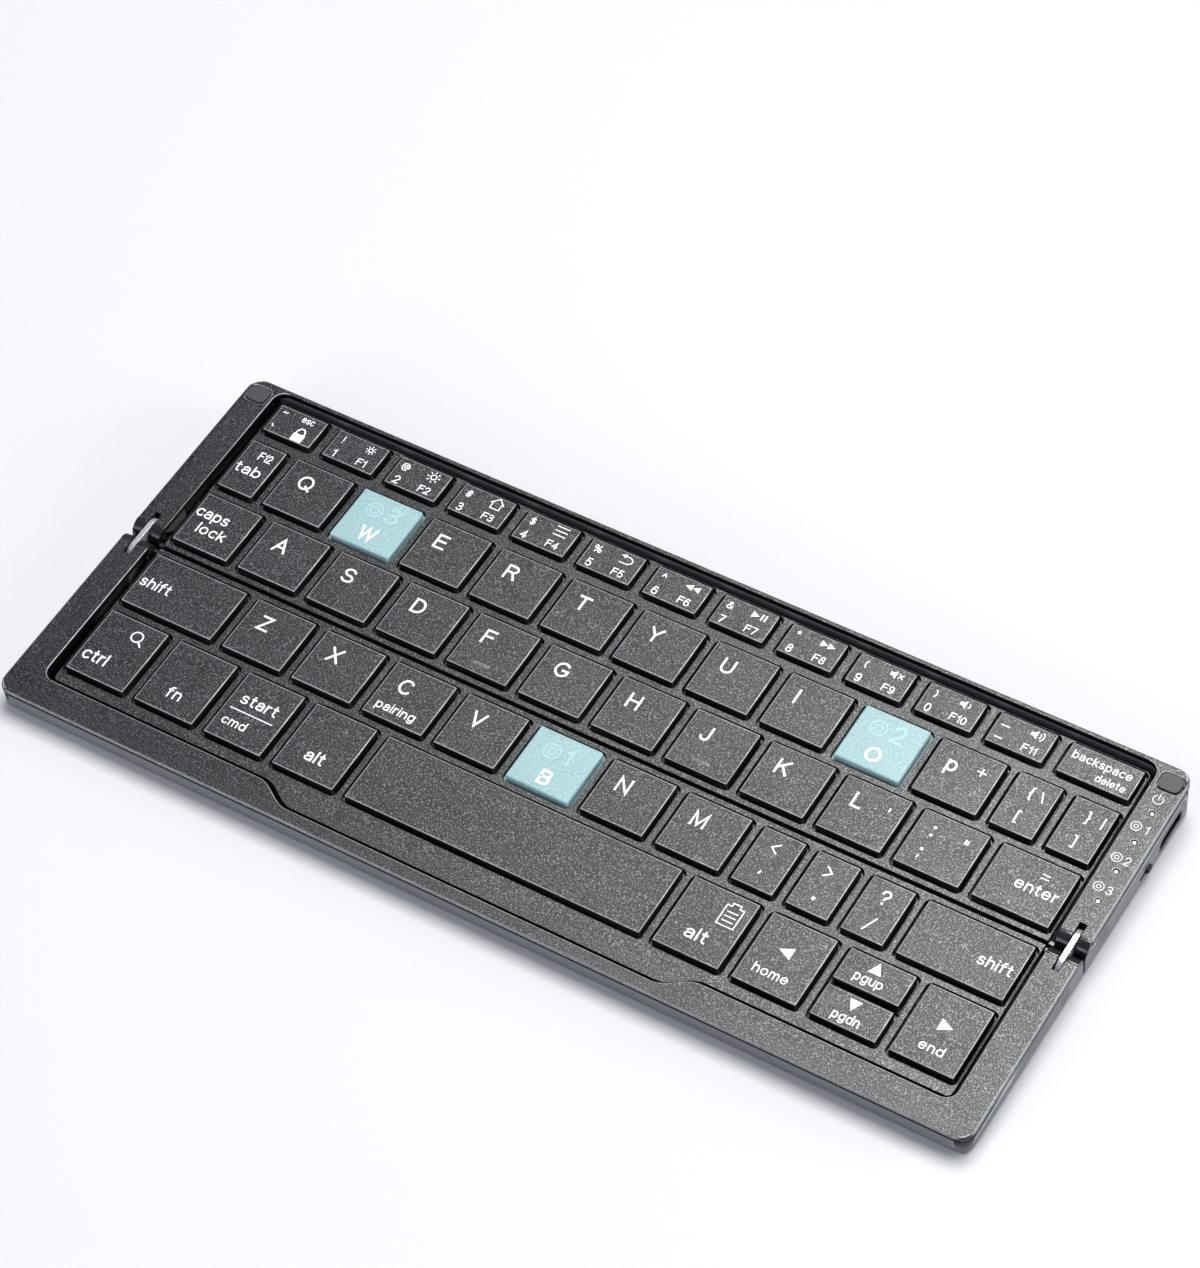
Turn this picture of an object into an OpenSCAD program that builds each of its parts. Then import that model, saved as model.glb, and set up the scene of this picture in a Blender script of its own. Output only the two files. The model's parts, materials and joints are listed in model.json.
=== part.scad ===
// Folding keyboard in two halves, joined by a steel link at each end.
// The deck frame has its origin on the fold line, with +Z out of the key tops and the
// bezel's top face at z = 0. seated() sets that frame on the table, raised at the rear.

/* [Keys] */
// Width of the key field, from the left keys to the right keys
field_w = 185.6; // [184:0.1:188]
// Width of the escape key
esc_w = 10.9; // [9:0.1:12]
// Width of the backspace key
backspace_w = 14.5; // [12:0.1:16]
// Width of the tab key
tab_w = 8.05; // [7:0.05:9]
// Width of the left bracket key
bracket_w = 8.8; // [7.5:0.1:10]
// Width of the right bracket key
end_bracket_w = 8.65; // [7.5:0.05:10]
// Width of the caps lock key
caps_w = 12.6; // [11:0.1:14]
// Width of the left shift key
shift_w = 20.6; // [18:0.1:23]
// Width of the comma, period and slash keys
point_w = 8.6; // [8:0.1:9.5]
// Width of the control and function keys
ctrl_w = 13.2; // [12:0.1:14]
// Width of the start key
start_w = 12.7; // [12:0.1:14]
// Width of the alt keys
alt_w = 13.45; // [12.5:0.05:14]
// Width of the left and the up and down arrow keys
arrow_w = 13.1; // [12:0.1:14]
// Width of the right arrow key
end_arrow_w = 12.7; // [12:0.1:14]
// Depth of a letter key, front to back
key_d = 12.8; // [12:0.1:13.5]
// Depth of a number key
number_d = 7.3; // [6.5:0.1:8]
// Depth of the keys in the front row
front_key_d = 15.5; // [14.5:0.1:16]
// Gap between keys in a row
key_gap = 2.35; // [2.2:0.05:2.5]
// Gap between number keys
number_gap = 2.7; // [2.4:0.1:3]
// Gap between rows
row_gap = 2.4; // [2.3:0.1:2.8]
// Gap between the number row and the row in front of it
number_row_gap = 2.9; // [2.5:0.1:3.3]
// Gap between the up and down arrow keys
arrow_gap = 1.15; // [1:0.05:1.4]
// Distance of the nearest keys from the fold plane
fold_margin = 2.1; // [2:0.05:2.4]
// Corner radius of a key
key_r = 0.9; // [0.5:0.1:1.5]
// Bevel along the top edges of a key
key_bevel = 0.28; // [0.1:0.02:0.4]
// Outward slope of a key's sides, top to base
key_draft = 0.12; // [0.05:0.01:0.2]
// Height of a key top above the web between the keys
key_rise = 0.9; // [0.6:0.05:1.2]
// Thickness of a key's top
key_top_t = 0.9; // [0.7:0.05:1]
// Thickness of a key's skirt
key_wall = 0.8; // [0.6:0.05:1]
// Thickness of the lip round a key's base
key_lip_t = 0.4; // [0.3:0.05:0.5]
// Distance a key travels when it is pressed
key_travel = 1.0; // [0.8:0.05:1.1]

/* [Key deck] */
// Depth of the web's top face below the bezel's top face
web_drop = 1.85; // [1.7:0.05:2]
// Thickness of the web
web_t = 0.8; // [0.6:0.05:0.9]
// Gap between a key and the edge of its well
well_gap = 0.55; // [0.5:0.05:0.6]
// Reach of a key's lip under the web
lip = 0.2; // [0.15:0.01:0.22]
// Width of the deck's rim beside the outer wells
rim = 0.3; // [0.25:0.05:0.6]
// Width of the trough between the deck and the bezel
trough = 1.1; // [0.9:0.1:1.5]
// Width of the trough along the front
front_trough = 1.4; // [1.2:0.1:1.6]
// Depth of the deck's apron in front of the front row, at the sides
apron_side = 2.9; // [2.4:0.1:3.2]
// Extra depth of the apron in the middle
apron_bay = 3.5; // [3:0.1:4]
// Distance of the apron's bends from the middle
bend_x = 42; // [36:1:50]
// Length of one bend, measured along the front edge
bend_l = 8; // [6:0.5:12]
// Thickness of the contact sheet under the keys
sheet_t = 0.15; // [0.1:0.01:0.2]
// Thickness of the metal base plate
plate_t = 0.3; // [0.2:0.05:0.35]
// Base radius of a rubber dome
dome_r = 2.2; // [1.8:0.1:2.4]

/* [Body] */
// Width of the bezel at the left and right ends
side_bezel = 6.25; // [6:0.05:7]
// Width of the bezel along the rear edge
rear_bezel = 1.05; // [1.05:0.05:2]
// Thickness of the bezel
bezel_t = 1.2; // [1:0.05:1.4]
// Height of the case at the fold, bezel included
fold_h = 7.2; // [7:0.1:8]
// Slope of the key deck to the table
tilt = 2.75; // [2.4:0.05:3]
// Thickness of the case walls
wall = 1.0; // [0.9:0.05:1]
// Thickness of the case floor
floor_t = 0.9; // [0.8:0.05:1]
// Height of the feet below the case
foot_h = 0.4; // [0.3:0.05:0.8]
// Radius of the four outer corners
corner_r = 3.2; // [2.5:0.1:4]
// Radius of the corners of the bezel's opening
opening_r = 2.4; // [1.5:0.1:3]
// Bevel along the bezel's top outer edge
bezel_bevel = 0.35; // [0.2:0.05:0.5]
// Bevel along the case's bottom edge
case_bevel = 0.8; // [0.4:0.1:1]
// Step of the case inside the bezel's edge, which makes the parting line
reveal = 0.12; // [0.05:0.01:0.2]
// Height of the groove under the bezel's edge, at the parting line
seam_h = 0.25; // [0.1:0.05:0.4]
// Depth of that groove
seam_d = 0.35; // [0.2:0.05:0.5]

/* [Hinges] */
// Gap between the two halves, both when open and when folded
fold_gap = 0.7; // [0.6:0.05:0.9]
// Depth of the hinge pins below the bezel's top face
pin_depth = 2.5; // [2.3:0.05:2.6]
// Radius of a hinge pin
pin_r = 0.7; // [0.5:0.05:0.9]
// Running clearance between a pin and its link
pin_play = 0.05; // [0.02:0.01:0.08]
// Thickness of a link
link_t = 1.0; // [0.8:0.05:1.2]
// Depth of a link's top edge below the bezel's top face
link_drop = 0.1; // [0.05:0.05:0.3]
// Gap between a link and its slot, all round
slot_play = 0.25; // [0.2:0.05:0.35]

/* [Sockets and fittings] */
// Distance of the charging socket's centre from the rear edge
usb_inset = 9.2; // [9:0.1:10]
// Width of the charging socket's mouth
usb_w = 8.34; // [8.3:0.01:8.5]
// Height of the charging socket's mouth
usb_h = 2.56; // [2.5:0.01:2.7]
// Thickness of the charging socket's shell
usb_shell_t = 0.3; // [0.2:0.05:0.35]
// Depth of the sockets' centres below the bezel's top face
socket_depth = 5.8; // [5.7:0.05:6]
// Distance of the switch knob from the charging socket, in its rest place
switch_pitch = 9.2; // [8.8:0.1:10]
// Distance the switch knob slides
switch_travel = 2.0; // [1.5:0.1:2.2]
// Width of the switch knob
knob_w = 1.5; // [1.2:0.1:1.8]
// Height of the switch knob
knob_h = 1.1; // [0.9:0.1:1.3]
// Distance the switch knob stands out of the wall
knob_proud = 0.5; // [0.3:0.1:0.8]
// Distance of the first status light from the fold plane
light_y = 10.9; // [10.4:0.1:11.2]
// Spacing of the status lights
light_pitch = 7.05; // [6.9:0.05:7.1]
// Radius of a status light
light_r = 0.35; // [0.3:0.05:0.6]
// Width of the dark ring round a status light
light_ring = 0.3; // [0.2:0.05:0.4]
// Width of a bumper pad
bumper_w = 4.3; // [3.5:0.1:4.6]
// Depth of a bumper pad, front to back
bumper_d = 3.7; // [3:0.1:4]
// Height of a bumper pad above the bezel
bumper_proud = 0.25; // [0.1:0.05:0.55]
// Radius of a side plug
plug_r = 1.5; // [1:0.1:1.6]
// Length of a foot
foot_w = 14; // [8:1:20]
// Depth of a foot, front to back
foot_d = 3.2; // [2:0.1:3.6]
// Distance of a foot's middle from the end of the case
foot_inset = 16.9; // [14:0.1:24]
// Distance of the outer feet from the outer edge of the case
foot_edge = 4.8; // [4:0.1:6]
// Distance of the inner feet from the fold plane
foot_fold = 6; // [4:0.1:8]
// Length of the battery
battery_l = 62; // [50:1:64]
// Length of the main board
board_l = 71.4; // [60:0.1:74]

/* [Hidden] */

// Colours
bezel_colour = "#2e2f33";
key_colour = "#303136";
accent_colour = "#a9d7dc";
case_colour = "#45474f";
steel_colour = "#b9bbbf";
rubber_colour = "#55575c";

$fn = 48;
// Straight steps in a quarter of a rounded outline
ARC_N = 6;
// Directions that the flats of a rounded corner face
RIM_ANGLES = [for (i = [1:ARC_N]) 90 * (i - 0.5) / ARC_N];
// Distance of a corner's bevel past its flats, so that no two of its edges fall together
rim_play = 0.02;
// Steps in one bend of the apron
BEND_N = 10;
// Distance that a cut runs past the face it opens
CUT = 1;
// Depth that lies below every part of the case
DEEP = 20;
// Clearance between pieces that seat on each other
FIT = 0.05;

// Letter and number keys share the width that the other keys of their rows leave, and the
// space bar fills the front row
letter_w = (field_w - tab_w - bracket_w - end_bracket_w - 12 * key_gap) / 10;
number_w = (field_w - esc_w - backspace_w - 12 * number_gap) / 11;
space_w = field_w - 2 * ctrl_w - start_w - 2 * alt_w - 2 * arrow_w - end_arrow_w - 8 * key_gap;
// Rows, from the number row at the rear to the front row. The last key of a row fills the
// row up to the edge of the field, so its width isn't listed.
ROW_W = [
    concat([esc_w], [for (i = [1:11]) number_w]),
    concat([tab_w], [for (i = [1:10]) letter_w], [bracket_w]),
    concat([caps_w], [for (i = [1:10]) letter_w]),
    concat([shift_w], [for (i = [1:7]) letter_w], [for (i = [1:3]) point_w]),
    [ctrl_w, ctrl_w, start_w, alt_w, space_w, alt_w, arrow_w, arrow_w]
];
ROW_GAP = [number_gap, key_gap, key_gap, key_gap, key_gap];
ROW_D = [number_d, key_d, key_d, key_d, front_key_d];
ROW_Y = [
    fold_margin + 2 * key_d + row_gap + number_row_gap,
    fold_margin + key_d + row_gap,
    fold_margin,
    -fold_margin - key_d,
    -fold_margin - key_d - row_gap - front_key_d
];
REAR_ROWS = [0, 1, 2];
FRONT_ROWS = [3, 4];
// Row and place of the up and down arrow keys, which share a well
ARROW_ROW = 4;
ARROW_KEY = 7;
half_arrow_d = (front_key_d - arrow_gap) / 2;

// Heights in the deck frame
web_z = -web_drop - web_t;
key_z = key_rise - web_drop;
lip_z = web_z - FIT - key_lip_t;
sheet_z = lip_z - key_travel - FIT;
plate_z = sheet_z - sheet_t;
ledge_z = plate_z - plate_t;
dome_z = key_z - key_top_t - key_travel - FIT;
skirt_z = web_z - 0.25;

// Outlines, as distances from the middle and from the fold plane
deck_hw = field_w / 2 + well_gap + rim;
inner_hw = deck_hw + trough;
body_hw = inner_hw + side_bezel;
case_hw = body_hw - reveal;
rear_field_y = ROW_Y[0] + number_d;
front_field_y = -ROW_Y[4];
deck_rear_y = rear_field_y + well_gap + rim;
inner_rear_y = deck_rear_y + trough;
half_d = inner_rear_y + rear_bezel;
case_d = half_d - reveal;
deck_front_y = front_field_y + apron_side;
inner_front_y = deck_front_y + front_trough;
fold_y = fold_gap / 2;
deck_fold_y = fold_y + 0.02;
deck_r = opening_r / 2;
plate_hw = deck_hw - 0.1;
case_inner_hw = case_hw - wall;
case_inner_y = case_d - wall + reveal;
// The wall at the fold stops just clear of the lips of the nearest keys
fold_wall_y = fold_margin - well_gap - lip - 2 * FIT;
plate_fold_y = fold_wall_y + 4 * FIT;
ledge_y = 1.4;
skirt_t = 0.8;

// Hinges
pin_y = pin_depth + fold_y;
link_r = pin_depth - link_drop;
slot_r = link_r + slot_play;
hinge_x = (inner_hw + body_hw) / 2;
knuckle_y = 9.4;
pin_inner_x = inner_hw + 0.4;
pin_outer_x = case_hw - 0.7;
bezel_fold_y = pin_y + FIT;

// Height of the deck frame's origin above the table
deck_h = foot_h + fold_h * cos(tilt);

// Screws
screw_x = hinge_x;
rear_screw_ys = [light_y + light_pitch / 2, case_inner_y - 1.9];
front_screw_ys = [light_y + light_pitch / 2, case_inner_y - 2.2];
post_r = 1.3;
post_z = -3.2;
boss_r = 1.9;
screw_seat_z = -4.1;
head_r = 1.2;
head_t = 0.7;
shank_r = 0.6;
shank_top_z = -bezel_t - 0.3;

// Charging socket
usb_y = half_d - usb_inset;
usb_outer_w = usb_w + 2 * usb_shell_t;
usb_outer_h = usb_h + 2 * usb_shell_t;
usb_l = 6.8;
usb_x = case_hw - 0.1;
usb_back_t = 0.5;
tongue_w = 6.7;
tongue_t = 0.7;
tongue_l = 5.2;

// Switch
switch_y = usb_y - switch_pitch;
knob_slot_play = 0.1;
slider_lap = 1.8;
slider_w = knob_w + 2 * slider_lap;
slider_h = knob_h + 1.0;
slider_t = 0.9;
slider_x = case_inner_hw - slider_t - FIT;
housing_t = 3.4;
housing_w = 7.2;
housing_h = 1.9;

// Board and battery
board_t = 0.6;
board_z = -6.1;
board_end_x = slider_x - FIT - housing_t - FIT;
board_x = [board_end_x - board_l, board_end_x];
board_y = [8, case_inner_y - ledge_y - 0.4];
board_rib_xs = [for (reach = [6, 36, 61]) board_x[0] + reach];
battery_inset = 13.9;
battery_x = [battery_inset - case_inner_hw, battery_inset - case_inner_hw + battery_l];
battery_y = [9, case_inner_y - ledge_y - 1.6];
battery_t = 1.8;
rib_t = 1.0;
rib_gap = 4;
rear_rib_xs = [battery_x[0] - rib_gap, battery_x[1] + rib_gap, board_x[0] - rib_gap];
front_ribs = 6;
front_rib_pitch = 2 * plate_hw / front_ribs;
front_rib_xs = [for (i = [1:front_ribs]) (i - (front_ribs + 1) / 2) * front_rib_pitch];

// Feet
foot_x = case_hw - foot_inset;
foot_ys = [foot_fold, case_d - foot_edge];
foot_sink = 0.2;

// Bumper pads
bumper_x = hinge_x;
bumper_edge = 2.8;
bumper_y = case_inner_y - bumper_edge;
bumper_sink = 0.6;
bumper_r = 1.2;
bumper_ring = 0.25;

// Status lights
light_top_z = -0.15;
light_flange_t = 0.4;
light_flange = 0.45;
light_well = 0.7;

// Round plugs in the end walls, just behind the knuckles
plug_y = 7.4;
plug_z = -3.7;
plug_l = 1.2;

// Distance from a key's edge to the nearest rib of the deck
rib_room = well_gap + lip + 4 * FIT;

function under(y) = -(fold_h + y * tan(tilt));

function key_x(row, i) =
    i == 0 ? -field_w / 2 : key_x(row, i - 1) + ROW_W[row][i - 1] + ROW_GAP[row];

function key_w(row, i) = i < len(ROW_W[row]) ? ROW_W[row][i] : field_w / 2 - key_x(row, i);

function arc(cx, cy, r, from, to) =
    [for (i = [0:ARC_N]) let (a = from + (to - from) * i / ARC_N) [cx + r * cos(a), cy + r * sin(a)]];

function rounded_points(w, d, r) =
    concat(arc(w - r, r, r, -90, 0), arc(w - r, d - r, r, 0, 90),
           arc(r, d - r, r, 90, 180), arc(r, r, r, 180, 270));

// One bend of the front edge, from the sides (y) to the bay in the middle (y + bay)
function bend(side, y, bay) =
    [for (i = [0:BEND_N])
        let (t = side > 0 ? i / BEND_N : 1 - i / BEND_N)
        [side * (bend_x + bend_l / 2 - bend_l * t), y + bay * (1 - cos(180 * t)) / 2]];

// Outline from the fold (y0) to the outer edge (y), with round outer corners and a bay
function panel_points(hw, y0, y, r, bay = 0) =
    concat([[hw, y0]], arc(hw - r, y - r, r, 0, 90),
           bay == 0 ? [] : bend(1, y, bay), bay == 0 ? [] : bend(-1, y, bay),
           arc(r - hw, y - r, r, 90, 180), [[-hw, y0]]);

// A box given by its sides; side is 1 for the rear half and -1 for the front half
module span(side, x, y, z) {
    translate([x[0], side > 0 ? y[0] : -y[1], z[0]])
        cube([x[1] - x[0], y[1] - y[0], z[1] - z[0]]);
}

module panel(side, points, z) {
    translate([0, 0, z[0]])
        linear_extrude(z[1] - z[0])
            polygon([for (p = points) [p[0], side * p[1]]]);
}

// An outline in Y and Z, drawn along X
module along_x(x, points) {
    translate([x[0], 0, 0])
        rotate([90, 0, 90])
            linear_extrude(x[1] - x[0])
                polygon(points);
}

// An outline in X and Z, drawn along Y
module along_y(y, points) {
    translate([0, y[1], 0])
        rotate([90, 0, 0])
            linear_extrude(y[1] - y[0])
                polygon(points);
}

module rod_x(x, y, z, r) {
    translate([x[0], y, z])
        rotate([0, 90, 0])
            cylinder(h = x[1] - x[0], r = r);
}

module seated() {
    translate([0, 0, deck_h])
        rotate([tilt, 0, 0])
            children();
}

module unseated() {
    rotate([-tilt, 0, 0])
        translate([0, 0, -deck_h])
            children();
}

// A block with rounded corners, sloping sides and a bevelled top
module bevelled_block(w, d, h, r, slope, bevel) {
    intersection() {
        linear_extrude(h)
            polygon(rounded_points(w, d, r));
        along_y([-CUT, d + CUT], bevel_profile(w, h, slope, bevel));
        along_x([-CUT, w + CUT], bevel_profile(d, h, slope, bevel));
    }
}

function bevel_profile(l, h, slope, bevel) =
    [[0, 0], [l, 0], [l - slope, h - bevel], [l - slope - bevel, h],
     [slope + bevel, h], [slope, h - bevel]];

// ---- Keys ----

// A keycap whose top face starts at the origin in X and Y; its skirt has a lip that rests
// under the web. front and rear give the lip's reach on those sides.
module keycap(w, d, front = well_gap + lip, rear = well_gap + lip) {
    side = well_gap + lip;
    difference() {
        union() {
            translate([-key_draft, -key_draft, lip_z])
                bevelled_block(w + 2 * key_draft, d + 2 * key_draft, key_z - lip_z,
                               key_r + key_draft, key_draft, key_bevel);
            translate([-side, -front, lip_z])
                linear_extrude(key_lip_t)
                    polygon(rounded_points(w + 2 * side, d + front + rear, key_r));
        }
        translate([key_wall, key_wall, lip_z - CUT])
            cube([w - 2 * key_wall, d - 2 * key_wall, key_z - key_top_t - lip_z + CUT]);
    }
}

module keys(row, first, last) {
    for (i = [first:last])
        translate([key_x(row, i), ROW_Y[row], 0])
            keycap(key_w(row, i), ROW_D[row]);
}

// The raised bar that marks a home key
module home_bar(row, i) {
    bar_w = 3.2;
    bar_d = 0.5;
    translate([key_x(row, i) + (key_w(row, i) - bar_w) / 2, ROW_Y[row] + 2.0, key_z - FIT])
        bevelled_block(bar_w, bar_d, 0.2 + FIT, bar_d / 2.5, 0, 0.08);
}

module arrow_half(level) {
    shared = arrow_gap / 2 - 0.15;
    outer = well_gap + lip;
    translate([key_x(ARROW_ROW, ARROW_KEY), ROW_Y[ARROW_ROW] + level * (half_arrow_d + arrow_gap), 0])
        keycap(arrow_w, half_arrow_d, level == 0 ? outer : shared, level == 0 ? shared : outer);
}

module key_esc() { color(key_colour) seated() keys(0, 0, 0); }
module keys_1_to_5() { color(key_colour) seated() keys(0, 1, 5); }
module keys_6_to_minus() { color(key_colour) seated() keys(0, 6, 11); }
module key_backspace() { color(key_colour) seated() keys(0, 12, 12); }
module key_tab() { color(key_colour) seated() keys(1, 0, 0); }
module key_q() { color(key_colour) seated() keys(1, 1, 1); }
module key_w() { color(accent_colour) seated() keys(1, 2, 2); }
module keys_e_r_t() { color(key_colour) seated() keys(1, 3, 5); }
module keys_y_u_i() { color(key_colour) seated() keys(1, 6, 8); }
module key_o() { color(accent_colour) seated() keys(1, 9, 9); }
module key_p() { color(key_colour) seated() keys(1, 10, 10); }
module keys_brackets() { color(key_colour) seated() keys(1, 11, 12); }
module key_caps_lock() { color(key_colour) seated() keys(2, 0, 0); }
module keys_a_s_d() { color(key_colour) seated() keys(2, 1, 3); }
module key_f() { color(key_colour) seated() union() { keys(2, 4, 4); home_bar(2, 4); } }
module keys_g_h() { color(key_colour) seated() keys(2, 5, 6); }
module key_j() { color(key_colour) seated() union() { keys(2, 7, 7); home_bar(2, 7); } }
module keys_k_to_semicolon() { color(key_colour) seated() keys(2, 8, 10); }
module key_enter() { color(key_colour) seated() keys(2, 11, 11); }
module key_left_shift() { color(key_colour) seated() keys(3, 0, 0); }
module keys_z_x_c_v() { color(key_colour) seated() keys(3, 1, 4); }
module key_b() { color(accent_colour) seated() keys(3, 5, 5); }
module keys_n_m() { color(key_colour) seated() keys(3, 6, 7); }
module keys_comma_to_slash() { color(key_colour) seated() keys(3, 8, 10); }
module key_right_shift() { color(key_colour) seated() keys(3, 11, 11); }
module keys_ctrl_fn_start() { color(key_colour) seated() keys(4, 0, 2); }
module key_left_alt() { color(key_colour) seated() keys(4, 3, 3); }
module space_bar() { color(key_colour) seated() keys(4, 4, 4); }
module key_right_alt() { color(key_colour) seated() keys(4, 5, 5); }
module key_left() { color(key_colour) seated() keys(4, 6, 6); }
module key_up() { color(key_colour) seated() arrow_half(1); }
module key_down() { color(key_colour) seated() arrow_half(0); }
module key_right() { color(key_colour) seated() keys(4, 8, 8); }

// ---- Key decks ----

module wells(rows) {
    for (row = rows)
        for (i = [0:len(ROW_W[row])])
            translate([key_x(row, i) - well_gap, ROW_Y[row] - well_gap, web_z - CUT])
                linear_extrude(web_t + 2 * CUT)
                    polygon(rounded_points(key_w(row, i) + 2 * well_gap,
                                           ROW_D[row] + 2 * well_gap, key_r + 0.3));
}

// A stiffening rib under the web, from y to y + t, standing on the contact sheet
module deck_rib(y, t) {
    translate([-field_w / 2, y, sheet_z])
        cube([field_w, t, web_z - sheet_z]);
}

module rear_key_deck() {
    color(bezel_colour) seated() union() {
        difference() {
            panel(1, panel_points(deck_hw, deck_fold_y, deck_rear_y, deck_r), [web_z, -web_drop]);
            wells(REAR_ROWS);
        }
        deck_rib(ROW_Y[2] + key_d + rib_room, row_gap - 2 * rib_room);
        deck_rib(ROW_Y[1] + key_d + rib_room, number_row_gap - 2 * rib_room);
    }
}

module front_key_deck() {
    color(bezel_colour) seated() union() {
        difference() {
            panel(-1, panel_points(deck_hw, deck_fold_y, deck_front_y, deck_r, apron_bay),
                  [web_z, -web_drop]);
            wells(FRONT_ROWS);
        }
        deck_rib(ROW_Y[4] + front_key_d + rib_room, row_gap - 2 * rib_room);
        deck_rib(ROW_Y[4] - rib_room - rib_t, rib_t);
    }
}

// The contact sheet with its rubber domes, drawn at their pressed height
module membrane(side, rows, y) {
    span(side, [-plate_hw, plate_hw], [plate_fold_y, y], [plate_z, sheet_z]);
    for (row = rows)
        for (i = [0:len(ROW_W[row])])
            if (row == ARROW_ROW && i == ARROW_KEY)
                for (level = [0, 1])
                    dome(row, i, level * (half_arrow_d + arrow_gap) + half_arrow_d / 2);
            else
                dome(row, i, ROW_D[row] / 2);
}

module dome(row, i, y) {
    translate([key_x(row, i) + key_w(row, i) / 2, ROW_Y[row] + y, plate_z])
        cylinder(h = dome_z - plate_z, r1 = dome_r, r2 = dome_r * 0.7);
}

module rear_membrane() { color("#8d9094") seated() union() membrane(1, REAR_ROWS, deck_rear_y); }

module front_membrane() {
    color("#8d9094") seated() union() membrane(-1, FRONT_ROWS, deck_front_y);
}

module rear_base_plate() {
    color(steel_colour) seated()
        span(1, [-plate_hw, plate_hw], [plate_fold_y, case_inner_y - 2 * FIT], [ledge_z, plate_z]);
}

module front_base_plate() {
    color(steel_colour) seated()
        span(-1, [-plate_hw, plate_hw], [plate_fold_y, case_inner_y - 2 * FIT], [ledge_z, plate_z]);
}

// ---- Bezels ----

module bezel_plate(side) {
    rim_cut(ARC_N - 1)
        intersection() {
            union() {
                panel(side, panel_points(body_hw, bezel_fold_y, half_d, corner_r),
                      [seam_h - bezel_t, 0]);
                panel(side, panel_points(body_hw - seam_d, bezel_fold_y, half_d - seam_d, corner_r - seam_d),
                      [-bezel_t, seam_h - bezel_t]);
            }
            rim_slab(body_hw, 0);
            rim_slab(half_d, 90);
        }
}

// Bevels the rim at the flats of the corners, up to the last of RIM_ANGLES
module rim_cut(last) {
    if (last < 0)
        children();
    else
        intersection() {
            rim_cut(last - 1)
                children();
            rim_slab(rim_reach(RIM_ANGLES[last]), RIM_ANGLES[last]);
            rim_slab(rim_reach(RIM_ANGLES[last]), -RIM_ANGLES[last]);
        }
}

// A slab whose upper edges bevel whatever reaches l along a or against it
module rim_slab(l, a) {
    rotate([0, 0, a])
        along_y([-2 * body_hw, 2 * body_hw],
                [[-l - CUT, -DEEP], [l + CUT, -DEEP], [l + CUT, -bezel_bevel - CUT],
                 [l - bezel_bevel - CUT, CUT], [bezel_bevel + CUT - l, CUT],
                 [-l - CUT, -bezel_bevel - CUT]]);
}

// Distance from the middle to the flat of a corner that faces along a
function rim_reach(a) =
    (body_hw - corner_r) * cos(a) + (half_d - corner_r) * sin(a) + corner_r * cos(45 / ARC_N) + rim_play;

module screw_posts(side, ys) {
    for (x = [-screw_x, screw_x], y = ys)
        translate([x, side * y, post_z])
            cylinder(h = -post_z - bezel_t + FIT, r = post_r);
}

module screw_pilots(side, ys) {
    for (x = [-screw_x, screw_x], y = ys)
        translate([x, side * y, post_z - CUT])
            cylinder(h = shank_top_z - post_z + CUT, r = shank_r + 0.02);
}

module bezel_slots(side) {
    for (x = [-hinge_x, hinge_x])
        span(side, [x - link_t / 2 - slot_play, x + link_t / 2 + slot_play],
             [0, pin_y + slot_r], [-bezel_t - CUT, CUT]);
}

module bumper(w, d, z) {
    translate([-w / 2, -d / 2, z[0]])
        linear_extrude(z[1] - z[0])
            polygon(rounded_points(w, d, bumper_r));
}

module rear_bezel() {
    color(bezel_colour) seated() difference() {
        union() {
            bezel_plate(1);
            for (side = [-1, 1])
                translate([side * (inner_hw + skirt_t / 2), 0, 0])
                    span(1, [-skirt_t / 2, skirt_t / 2], [knuckle_y + FIT, inner_rear_y - opening_r],
                         [skirt_z, -bezel_t + FIT]);
            screw_posts(1, rear_screw_ys);
        }
        panel(1, panel_points(inner_hw, 0, inner_rear_y, opening_r), [-bezel_t - DEEP, CUT]);
        screw_pilots(1, rear_screw_ys);
        bezel_slots(1);
        for (i = [0:3])
            translate([hinge_x, light_y + i * light_pitch, 0]) {
                translate([0, 0, -bezel_t - CUT])
                    cylinder(h = bezel_t + 2 * CUT, r = light_r + FIT);
                translate([0, 0, -light_well])
                    cylinder(h = light_well + CUT, r = light_r + light_ring);
            }
        for (side = [-1, 1])
            translate([side * bumper_x, bumper_y, 0])
                bumper(bumper_w + 2 * bumper_ring, bumper_d + 2 * bumper_ring, [-bumper_sink, CUT]);
    }
}

module front_bezel() {
    color(bezel_colour) seated() difference() {
        union() {
            bezel_plate(-1);
            intersection() {
                panel(-1, panel_points(inner_hw + skirt_t, knuckle_y + FIT, inner_front_y + skirt_t,
                                       opening_r + skirt_t, apron_bay), [skirt_z, -bezel_t + FIT]);
                span(-1, [-DEEP - body_hw, DEEP + body_hw], [0, case_inner_y - FIT],
                     [-DEEP, 0]);
            }
            screw_posts(-1, front_screw_ys);
        }
        panel(-1, panel_points(inner_hw, 0, inner_front_y, opening_r, apron_bay),
              [-bezel_t - DEEP, CUT]);
        screw_pilots(-1, front_screw_ys);
        bezel_slots(-1);
    }
}

module bumper_pads() {
    color(rubber_colour) seated()
        for (side = [-1, 1])
            translate([side * bumper_x, bumper_y, 0])
                bumper(bumper_w, bumper_d, [-bumper_sink, bumper_proud]);
}

module status_lights() {
    color("#e8ecef") seated()
        for (i = [0:3])
            translate([hinge_x, light_y + i * light_pitch, 0])
                union() {
                    translate([0, 0, -bezel_t - light_flange_t])
                        cylinder(h = bezel_t + light_flange_t + light_top_z, r = light_r);
                    translate([0, 0, -bezel_t - light_flange_t])
                        cylinder(h = light_flange_t, r = light_r + light_flange);
                }
}

// ---- Hinges ----

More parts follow.
